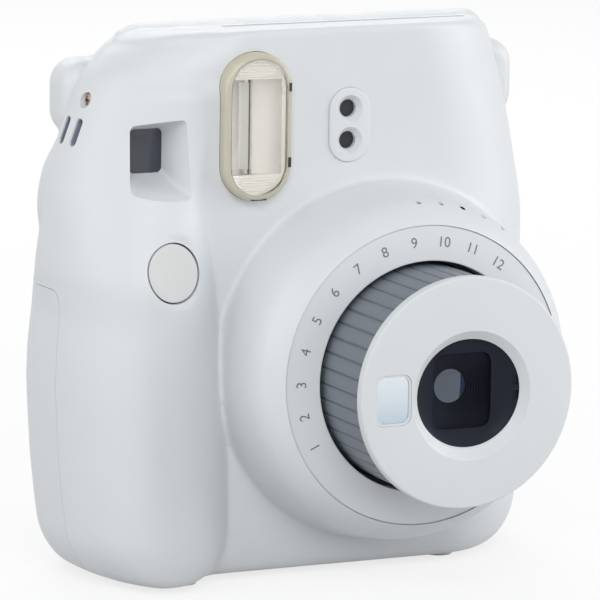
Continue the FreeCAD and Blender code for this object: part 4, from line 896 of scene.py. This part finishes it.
print("bezel", face_count(bezel), "eyepiece", face_count(eyepiece))

# %% [markdown]
# Buttons are small turned or boxed keys. The shutter button lies flush in its seat, so its face
# takes the seat's slant, and has a shallow hollow for the fingertip.

# %% Buttons, counter, screws
FLUSH = SEAT + 0.3
hollow = [(5.2 * step / 10, FLUSH + 0.22 * (1 - (step / 10) ** 2)) for step in range(11)]
rim = rounded([(5.5, FLUSH), (5.99, FLUSH, 0.2), (5.99, -2.6)], 5)[1:]
shutter_key = turned("shutter_button_part", hollow + rim + [(7.0, -2.6), (7.0, -1.6), (0, -1.6)],
                     (SHUTTER[0], 0, SHUTTER[1]), closed=False)
lean_face(shutter_key, SHUTTER)
power_key = box("power_button_part", (LENS_X + 33.0, -14.0, LENS_Z - 2.5), (LENS_X + 38.1, -5.0, LENS_Z + 2.5),
                corner=0.5, axis="X")
soften(power_key, lambda a, b: min(a.x, b.x) > LENS_X + 38.0, 0.4, 3)
counter_pane = turned("counter_window_part", rounded([(0, 41.85), (3.2, 41.6, 0.3), (3.2, 40.2), (0, 40.2)]),
                      (COUNTER[0], 0, COUNTER[1]), steps=64, closed=False)


def screw_head(name, middle, radius, axis, sign):
    """Low domed head with a cross slot, facing sign along the axis."""
    lane = "XYZ".index(axis)
    along = middle[lane]
    profile = [(0, along + sign * 0.9), (radius * 0.7, along + sign * 0.78), (radius * 0.97, along + sign * 0.3),
               (radius, along), (radius * 0.5, along), (radius * 0.5, along - sign * 3), (0, along - sign * 3)]
    head = turned(name, profile, middle, steps=48, closed=False, axis=axis)
    for reach in ([0.16 * radius, 0.62 * radius], [0.62 * radius, 0.16 * radius]):
        reach.insert(lane, 0)
        low = [value - size for value, size in zip(middle, reach)]
        high = [value + size for value, size in zip(middle, reach)]
        low[lane], high[lane] = sorted((along + sign * 0.2, along + sign * 2.0))
        carve(head, box("slot", low, high))
    return head


side_screw = screw_head("side_screw", (side_place.x + 1.25, *SIDE_SCREW), 1.5, "X", -1)
rear_place = wall_place(rear_form, (REAR_SCREW[0] + 2.4, 80, REAR_SCREW[1]), (0, -1, 0))
rear_screw = screw_head("rear_screw", (REAR_SCREW[0], rear_place.y - 1.2, REAR_SCREW[1]), 1.6, "Y", 1)
screws = as_one("case_screws_part", [side_screw, rear_screw])
print("screws at", in_mm(rear_place * MM))

# %% [markdown]
# Each finish is built from the object's own coordinates, so it stays put on a part when the part
# moves. Moulded plastic has a faint spark texture and small changes of gloss. The colour is mixed
# very lightly with noise, as even plain plastic is never perfectly uniform.

# %% Plastics


class Network:
    """Shader nodes of a material or the sky, with one short call for each kind."""

    def __init__(self, owner):
        owner.use_nodes = True
        self.owner, self.nodes = owner, owner.node_tree.nodes

    def put(self, node, *ordered, **named):
        """Sets sockets in order or by name, or links them where the value is another node's output."""
        for key, value in [*enumerate(ordered), *named.items()]:
            socket = node.inputs[key if isinstance(key, int) else key.replace("_", " ")]
            if isinstance(value, bpy.types.NodeSocket):
                self.owner.node_tree.links.new(value, socket)
            else:
                socket.default_value = value
        return node

    def add(self, kind, *ordered, **named):
        return self.put(self.nodes.new("ShaderNode" + kind), *ordered, **named)

    def noise(self, scale, detail=3.0, place=None):
        return self.add("TexNoise", Vector=place or self.place, Scale=scale, Detail=detail).outputs["Fac"]

    def ramp(self, value, *stops):
        """Colour ramp with (position, colour) stops."""
        tool = self.add("ValToRGB", Fac=value)
        band = tool.color_ramp
        while len(band.elements) < len(stops):
            band.elements.new(0.5)
        for element, (position, colour) in zip(band.elements, stops):
            element.position, element.color = position, (*colour, 1.0)
        return tool.outputs["Color"]

    def paint(self, value, *stops):
        self.put(self.shader, Base_Color=self.ramp(value, *stops))

    def gloss(self, value, low, high):
        self.put(self.shader, Roughness=self.ramp(value, (0.3, (low,) * 3), (0.7, (high,) * 3)))

    def bump(self, height, strength, distance):
        tool = self.add("Bump", Height=height, Strength=strength, Distance=distance * MM)
        self.put(self.shader, Normal=tool.outputs["Normal"])


def new_finish(name, roughness, **sockets):
    """Principled material with its fixed values, and object coordinates ready to use."""
    net = Network(bpy.data.materials.new(name))
    net.shader = net.put(net.nodes["Principled BSDF"], Roughness=roughness, **sockets)
    net.place = net.add("TexCoord").outputs["Object"]
    return net


def plastic(name, colour, roughness=0.4, spark=0.05, variation=0.015, grain=1400.0, **sockets):
    """Moulded plastic: light mottling, gloss that wanders a little and a fine spark texture."""
    net = new_finish(name, roughness, **sockets)
    darker = [channel * (1 - variation) for channel in colour]
    lighter = [min(channel * (1 + variation), 1) for channel in colour]
    net.paint(net.noise(45.0), (0.3, darker), (0.7, lighter))
    net.gloss(net.noise(160.0), roughness * 0.9, roughness * 1.1)
    net.bump(net.noise(grain, 2.0), 0.35, spark)
    return net


ICE = (0.690, 0.716, 0.736)
shell_finish = plastic("shell_plastic", ICE, roughness=0.5, spark=0.012, Coat_Weight=0.05, Coat_Roughness=0.3)
button_finish = plastic("button_plastic", (0.66, 0.668, 0.665), roughness=0.45, spark=0.012)
dark_finish = plastic("dark_plastic", (0.016, 0.017, 0.020), roughness=0.42, spark=0.02, variation=0.2)
mask_finish = plastic("mask_plastic", (0.013, 0.015, 0.025), roughness=0.45, spark=0.01, variation=0.1,
                      Specular_IOR_Level=0.13)
# The strap pocket's grey-blue colour is painted shade.
strap_shade_finish = plastic("strap_pocket_painted_shade", (0.22, 0.23, 0.29), roughness=0.5, spark=0.01)
ink_finish = plastic("print_ink", (0.16, 0.178, 0.20), roughness=0.5, spark=0.004, variation=0.05)
gear_finish = plastic("gear_plastic", (0.72, 0.68, 0.58), roughness=0.45, spark=0.01)
card_finish = plastic("film_card", (0.75, 0.75, 0.73), roughness=0.6, spark=0.01)
sleeve_finish = plastic("capacitor_sleeve", (0.02, 0.02, 0.03), roughness=0.3, spark=0.005, variation=0.2)
cell_finish = plastic("cell_sleeve", (0.05, 0.052, 0.06), roughness=0.25, spark=0.004, variation=0.15)

# %% [markdown]
# The barrel's grey plastic is painted darker in its grooves, as painted shade. The angle round
# the lens axis comes from the coordinates, and a narrow band of it marks each groove.

# %% Barrel plastic with its grooves


def figure_out(net, operation, *values):
    """One step of arithmetic between node outputs or numbers."""
    tool = net.add("Math", *values)
    tool.operation = operation
    return tool.outputs["Value"]


barrel_finish = net = new_finish("barrel_plastic", 0.42)
parts = net.add("SeparateXYZ", net.place).outputs
across = figure_out(net, "SUBTRACT", parts["X"], LENS_X * MM)
upright = figure_out(net, "SUBTRACT", parts["Z"], LENS_Z * MM)
turns = figure_out(net, "MULTIPLY", figure_out(net, "ARCTAN2", across, upright), GROOVES / (2 * math.pi))
phase = figure_out(net, "FRACT", figure_out(net, "ADD", turns, 100.5))
# The dark stop at the middle of each groove band is painted shade.
net.paint(figure_out(net, "ABSOLUTE", figure_out(net, "SUBTRACT", phase, 0.5)),
          (0.0, (0.085, 0.096, 0.112)), (0.09, (0.160, 0.182, 0.212)), (0.5, (0.170, 0.192, 0.222)))
net.bump(net.noise(1500.0, 2.0), 0.3, 0.01)

# %% [markdown]
# Metals get fine brushed noise stretched along one way. Bright parts are smooth, and steel ones
# are a little rougher. Clear parts are glass shaders with a tint. The lenses and the finder panes are opaque instead
# and painted dark as shade, and the mirror's colour is a painted reflection.

# %% Metals, glass and mirror


def metal(name, colour, roughness, stretch=(1, 1, 1)):
    net = new_finish(name, roughness, Metallic=1.0)
    mapping = net.add("Mapping", net.place, Scale=stretch)
    grain = net.noise(300.0, 4.0, mapping.outputs["Vector"])
    net.paint(grain, (0.3, [channel * 0.86 for channel in colour]), (0.7, colour))
    net.gloss(grain, roughness * 0.8, roughness * 1.25)
    return net


def clear(name, colour, roughness, **sockets):
    """Clear moulded plastic or glass, with a slight ripple in its surface."""
    net = new_finish(name, roughness, **{"Transmission_Weight": 1.0, **sockets})
    net.paint(net.noise(60.0), (0.3, [channel * 0.985 for channel in colour]), (0.7, colour))
    net.bump(net.noise(90.0, 1.0), 0.15, 0.01)
    return net


steel_finish = metal("steel", (0.62, 0.60, 0.58), 0.28, (1, 6, 6))
screw_finish = metal("screw_metal", (0.42, 0.30, 0.24), 0.35)
motor_finish = metal("motor_can", (0.50, 0.50, 0.50), 0.35, (6, 1, 1))
nickel_finish = metal("nickel", (0.66, 0.64, 0.58), 0.2)
flash_finish = clear("flash_clear", (0.985, 0.98, 0.965), 0.03, IOR=1.49)
rim_finish = clear("flash_rim_clear", (0.86, 0.82, 0.67), 0.2, IOR=1.49, Transmission_Weight=0.45)
trough_finish = plastic("trough_silver", (0.97, 0.955, 0.91), roughness=0.3, spark=0.004, Metallic=0.1)
tube_finish = clear("tube_glass", (0.96, 0.97, 0.97), 0.05, IOR=1.47)
pane_finish = clear("window_clear", (0.86, 0.88, 0.90), 0.05, IOR=1.49)
# The lenses are opaque: their dark blue is painted shade of the inside seen through the glass, together with the
# coating's blue cast.
lens_shade_finish = new_finish("lens_glass", 0.04, Coat_Weight=1.0, Coat_Roughness=0.03, IOR=1.52)
lens_shade_finish.paint(lens_shade_finish.noise(70.0), (0.3, (0.030, 0.052, 0.095)), (0.7, (0.050, 0.080, 0.140)))
# The finder's front glass and eyepiece are opaque and painted dark navy: painted shade of the dark finder tube seen
# through clear glass.
finder_shade_finish = new_finish("clear_glass", 0.06, Coat_Weight=0.6, Coat_Roughness=0.04)
finder_shade_finish.paint(finder_shade_finish.noise(90.0), (0.3, (0.022, 0.027, 0.043)), (0.7, (0.032, 0.038, 0.058)))
lamp_finish = clear("lamp_clear", (0.10, 0.085, 0.085), 0.3, Transmission_Weight=0.3)

# The mirror's colour is a painted reflection: blue-grey at the bottom, growing paler towards the top.
mirror_reflection_finish = net = new_finish("mirror_silver", 0.10, Metallic=1.0)
parts = net.add("SeparateXYZ", net.place).outputs
height = figure_out(net, "SUBTRACT", parts["Z"], (LENS_Z - 5.5) * MM)
net.paint(figure_out(net, "MULTIPLY", height, 1 / (10.4 * MM)),
          (0.0, (0.52, 0.60, 0.67)), (0.45, (0.64, 0.71, 0.77)), (1.0, (0.76, 0.80, 0.83)))

board_finish = net = new_finish("board", 0.35, Coat_Weight=0.4)
tracks = net.add("TexVoronoi", Vector=net.place, Scale=420.0)
tracks.feature = "DISTANCE_TO_EDGE"
net.paint(tracks.outputs["Distance"], (0.05, (0.05, 0.22, 0.13)), (0.12, (0.012, 0.085, 0.05)))
print("materials", len(bpy.data.materials))

# %% [markdown]
# Now every piece gets its finish, rides with its body and stands for its CAD node. The inner parts
# keep their CAD shapes and only take a finish.

# %% Dress the pieces


def close_pinholes(obj):
    """Drops faces without area, and fills the pinholes that are left after many cuts."""
    with editing(obj, mode="EDGE"):
        bpy.ops.mesh.dissolve_degenerate(threshold=1e-6)
        bpy.ops.mesh.select_all(action="DESELECT")
        bpy.ops.mesh.select_non_manifold(extend=False, use_wire=False, use_boundary=True, use_multi_face=False,
                                         use_non_contiguous=False, use_verts=False)
        bpy.ops.mesh.fill_holes(sides=12)


def paint_with(obj, finish):
    obj.data.materials.clear()
    obj.data.materials.append(finish.owner)


ON_CAMERA = [
    (front_shell, shell_finish, "camera_body", "front_shell", "shell_plastic", 32),
    (rear_shell, shell_finish, "camera_body", "rear_shell", "shell_plastic", 32),
    (battery_cover, shell_finish, "battery_lid", "battery_cover", "shell_plastic", 32),
    (back_door, shell_finish, "door", "back_door", "shell_plastic", 32),
    (window, pane_finish, "door", "pack_window", "window_clear"),
    (latch, button_finish, "latch", "door_latch", "button_plastic"),
    (ring, shell_finish, "dial", "brightness_dial", "shell_plastic"),
    (ring_marks, ink_finish, "dial", None, "dark_plastic"),
    (barrel, barrel_finish, "barrel", "barrel_tube", "barrel_plastic", 12),
    (cap, shell_finish, "barrel", "front_cap", "shell_plastic"),
    (mirror_rim, shell_finish, "barrel", None, "shell_plastic"),
    (mirror, mirror_reflection_finish, "barrel", "selfie_mirror", "mirror_silver"),
    (mask, mask_finish, "barrel", "lens_mask", "dark_plastic", 40),
    (baffle, mask_finish, "barrel", "lens_baffle", "dark_plastic"),
    (front_lens, lens_shade_finish, "barrel", "front_lens", "lens_glass", 40),
    (rear_lens, lens_shade_finish, "barrel", "rear_lens", "lens_glass", 40),
    (flash_cover, flash_finish, "camera_body", "flash_window", "flash_clear"),
    (flash_rim, rim_finish, "camera_body", None, "flash_clear"),
    (clips, dark_finish, "camera_body", None, "dark_plastic"),
    (reflector, trough_finish, "camera_body", "flash_reflector", "bright_metal"),
    (reflector_frame, trough_finish, "camera_body", None, "bright_metal"),
    (flash_ribs, trough_finish, "camera_body", None, "bright_metal"),
    (strap_shade_pocket, strap_shade_finish, "camera_body", None, "dark_plastic"),
    (tray, dark_finish, "camera_body", "battery_tray", "dark_plastic"),
    (flash_glass, tube_finish, "camera_body", "flash_tube", "tube_glass"),
    (tube_ends, nickel_finish, "camera_body", None, "nickel"),
    (bezel, shell_finish, "camera_body", "sensor_bezel", "shell_plastic"),
    (sensors, dark_finish, "camera_body", "light_sensors", "dark_plastic"),
    (finder_pane, finder_shade_finish, "camera_body", "finder_front_glass", "clear_glass"),
    (eyepiece, finder_shade_finish, "camera_body", "finder_eyepiece", "clear_glass"),
    (shutter_key, button_finish, "shutter_key", "shutter_button", "button_plastic"),
    (power_key, button_finish, "power_key", "power_button", "button_plastic"),
    (counter_pane, pane_finish, "camera_body", "counter_window", "window_clear"),
    (screws, screw_finish, "camera_body", "case_screws", "steel"),
]
for piece, finish, body, node, slot, *angle in ON_CAMERA:
    settle(piece)
    if piece not in (ring_marks, battery_cover):
        close_pinholes(piece)
    piece.data.validate()
    paint_with(piece, finish)
    smooth(piece, *angle)
    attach(piece, body)
    if node:
        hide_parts(node)
KEPT = (
    (dark_finish, "chassis film_pack finder_tube switch_bracket shutter_switch power_switch left_leaf right_leaf"
                  " shutter_unit counter_dial"),
    (steel_finish, "front_roller rear_roller hinge_pin pressure_springs"), (nickel_finish, "battery_contacts"),
    (board_finish, "main_board sensor_board"), (gear_finish, "idler_gear pinion_gear"),
    (cell_finish, "battery_cells"), (motor_finish, "drive_motor"), (card_finish, "film_stack"),
    (sleeve_finish, "flash_capacitor"), (lamp_finish, "indicator_lamps"))
for finish, nodes in KEPT:
    for node in nodes.split():
        paint_with(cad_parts[node], finish)
for spare in (inner_front, inner_rear):
    bpy.data.objects.remove(spare)
print("pieces", len(ON_CAMERA), "finishes of kept nodes", len(KEPT))

# %% [markdown]
# The camera stands on a pale floor among broad soft lamps, with a soft sky over it all. A wide lamp
# high on the left is the key, and one on each side keeps the turned walls bright. To the eye the
# paper under the camera is near white, while for the light that it throws back it stays pale grey,
# so that the underside keeps its shade. The object's shadow stays on it.

# %% Floor, lamps and camera


def show(net, shadow, eye, output):
    """One shader for the light that is thrown back, another for what the eye meets, mirrored or not."""
    path = net.add("LightPath").outputs
    bent = figure_out(net, "MAXIMUM", path["Is Glossy Ray"], path["Is Transmission Ray"])
    seen = figure_out(net, "MAXIMUM", path["Is Camera Ray"], bent)
    net.put(net.nodes[output], Surface=net.add("MixShader", seen, shadow, eye).outputs["Shader"])


deselect()
bpy.ops.mesh.primitive_plane_add(size=8.0, location=(0, 0, 0))
floor = bpy.context.object
floor.name = "floor"
net = Network(bpy.data.materials.new("floor_paper"))
paper = net.put(net.nodes["Principled BSDF"], Base_Color=(0.58, 0.58, 0.58, 1), Roughness=0.9)
pale = net.add("BsdfDiffuse", Color=(0.98, 0.98, 0.98, 1)).outputs["BSDF"]
white = net.add("Emission", Strength=1.0).outputs["Emission"]
shown = net.add("MixShader", 0.76, pale, white).outputs["Shader"]
show(net, paper.outputs["BSDF"], shown, "Material Output")
floor.data.materials.append(net.owner)

world = bpy.data.worlds.new("soft_sky")
bpy.context.scene.world = world
net = Network(world)
sky = net.put(net.nodes["Background"], Color=(0.96, 0.98, 1.0, 1), Strength=0.40)
plain = net.add("Background", Color=(1, 1, 1, 1), Strength=1.0)
show(net, sky.outputs["Background"], plain.outputs["Background"], "World Output")


def lamp(name, place, size, power):
    """Broad soft lamp that faces the middle of the camera."""
    data = bpy.data.lights.new(name, "AREA")
    data.shape = "RECTANGLE"
    data.size, data.size_y = size
    data.energy = power
    obj = new_object(name, data)
    obj.location = place
    obj.rotation_euler = (Vector((0, 0, 0.06)) - Vector(place)).to_track_quat("-Z", "Y").to_euler()


lamp("key_lamp", (-0.42, -1.05, 0.72), (0.9, 0.7), 7.4)
lamp("left_lamp", (-1.05, 0.0, 0.45), (0.8, 0.7), 3.5)
lamp("right_lamp", (1.0, -0.35, 0.35), (0.8, 0.8), 6.5)
lamp("back_lamp", (0.2, 0.9, 0.7), (0.8, 0.5), 4.0)

TURN, RISE, ROLL = math.radians(-25.627), math.radians(10.028), math.radians(0.917)
right = Vector((math.cos(TURN), math.sin(TURN), 0))
back = Vector((math.sin(TURN) * math.cos(RISE), -math.cos(TURN) * math.cos(RISE), math.sin(RISE)))
upward = back.cross(right)
side = right * math.cos(ROLL) + upward * math.sin(ROLL)
lift = -right * math.sin(ROLL) + upward * math.cos(ROLL)
eye = bpy.data.cameras.new("camera")
eye.lens = 334.0
eye.sensor_width = 36.0
eye.shift_x = eye.shift_y = -0.018
eye.clip_end = 20.0
viewer = new_object("camera", eye)
viewer.matrix_world = Matrix((side, lift, back)).transposed().to_4x4()
viewer.location = Vector((-506.6, -1049.6, 268.0)) * MM
bpy.context.scene.camera = viewer
bpy.context.scene.view_settings.view_transform = "Standard"
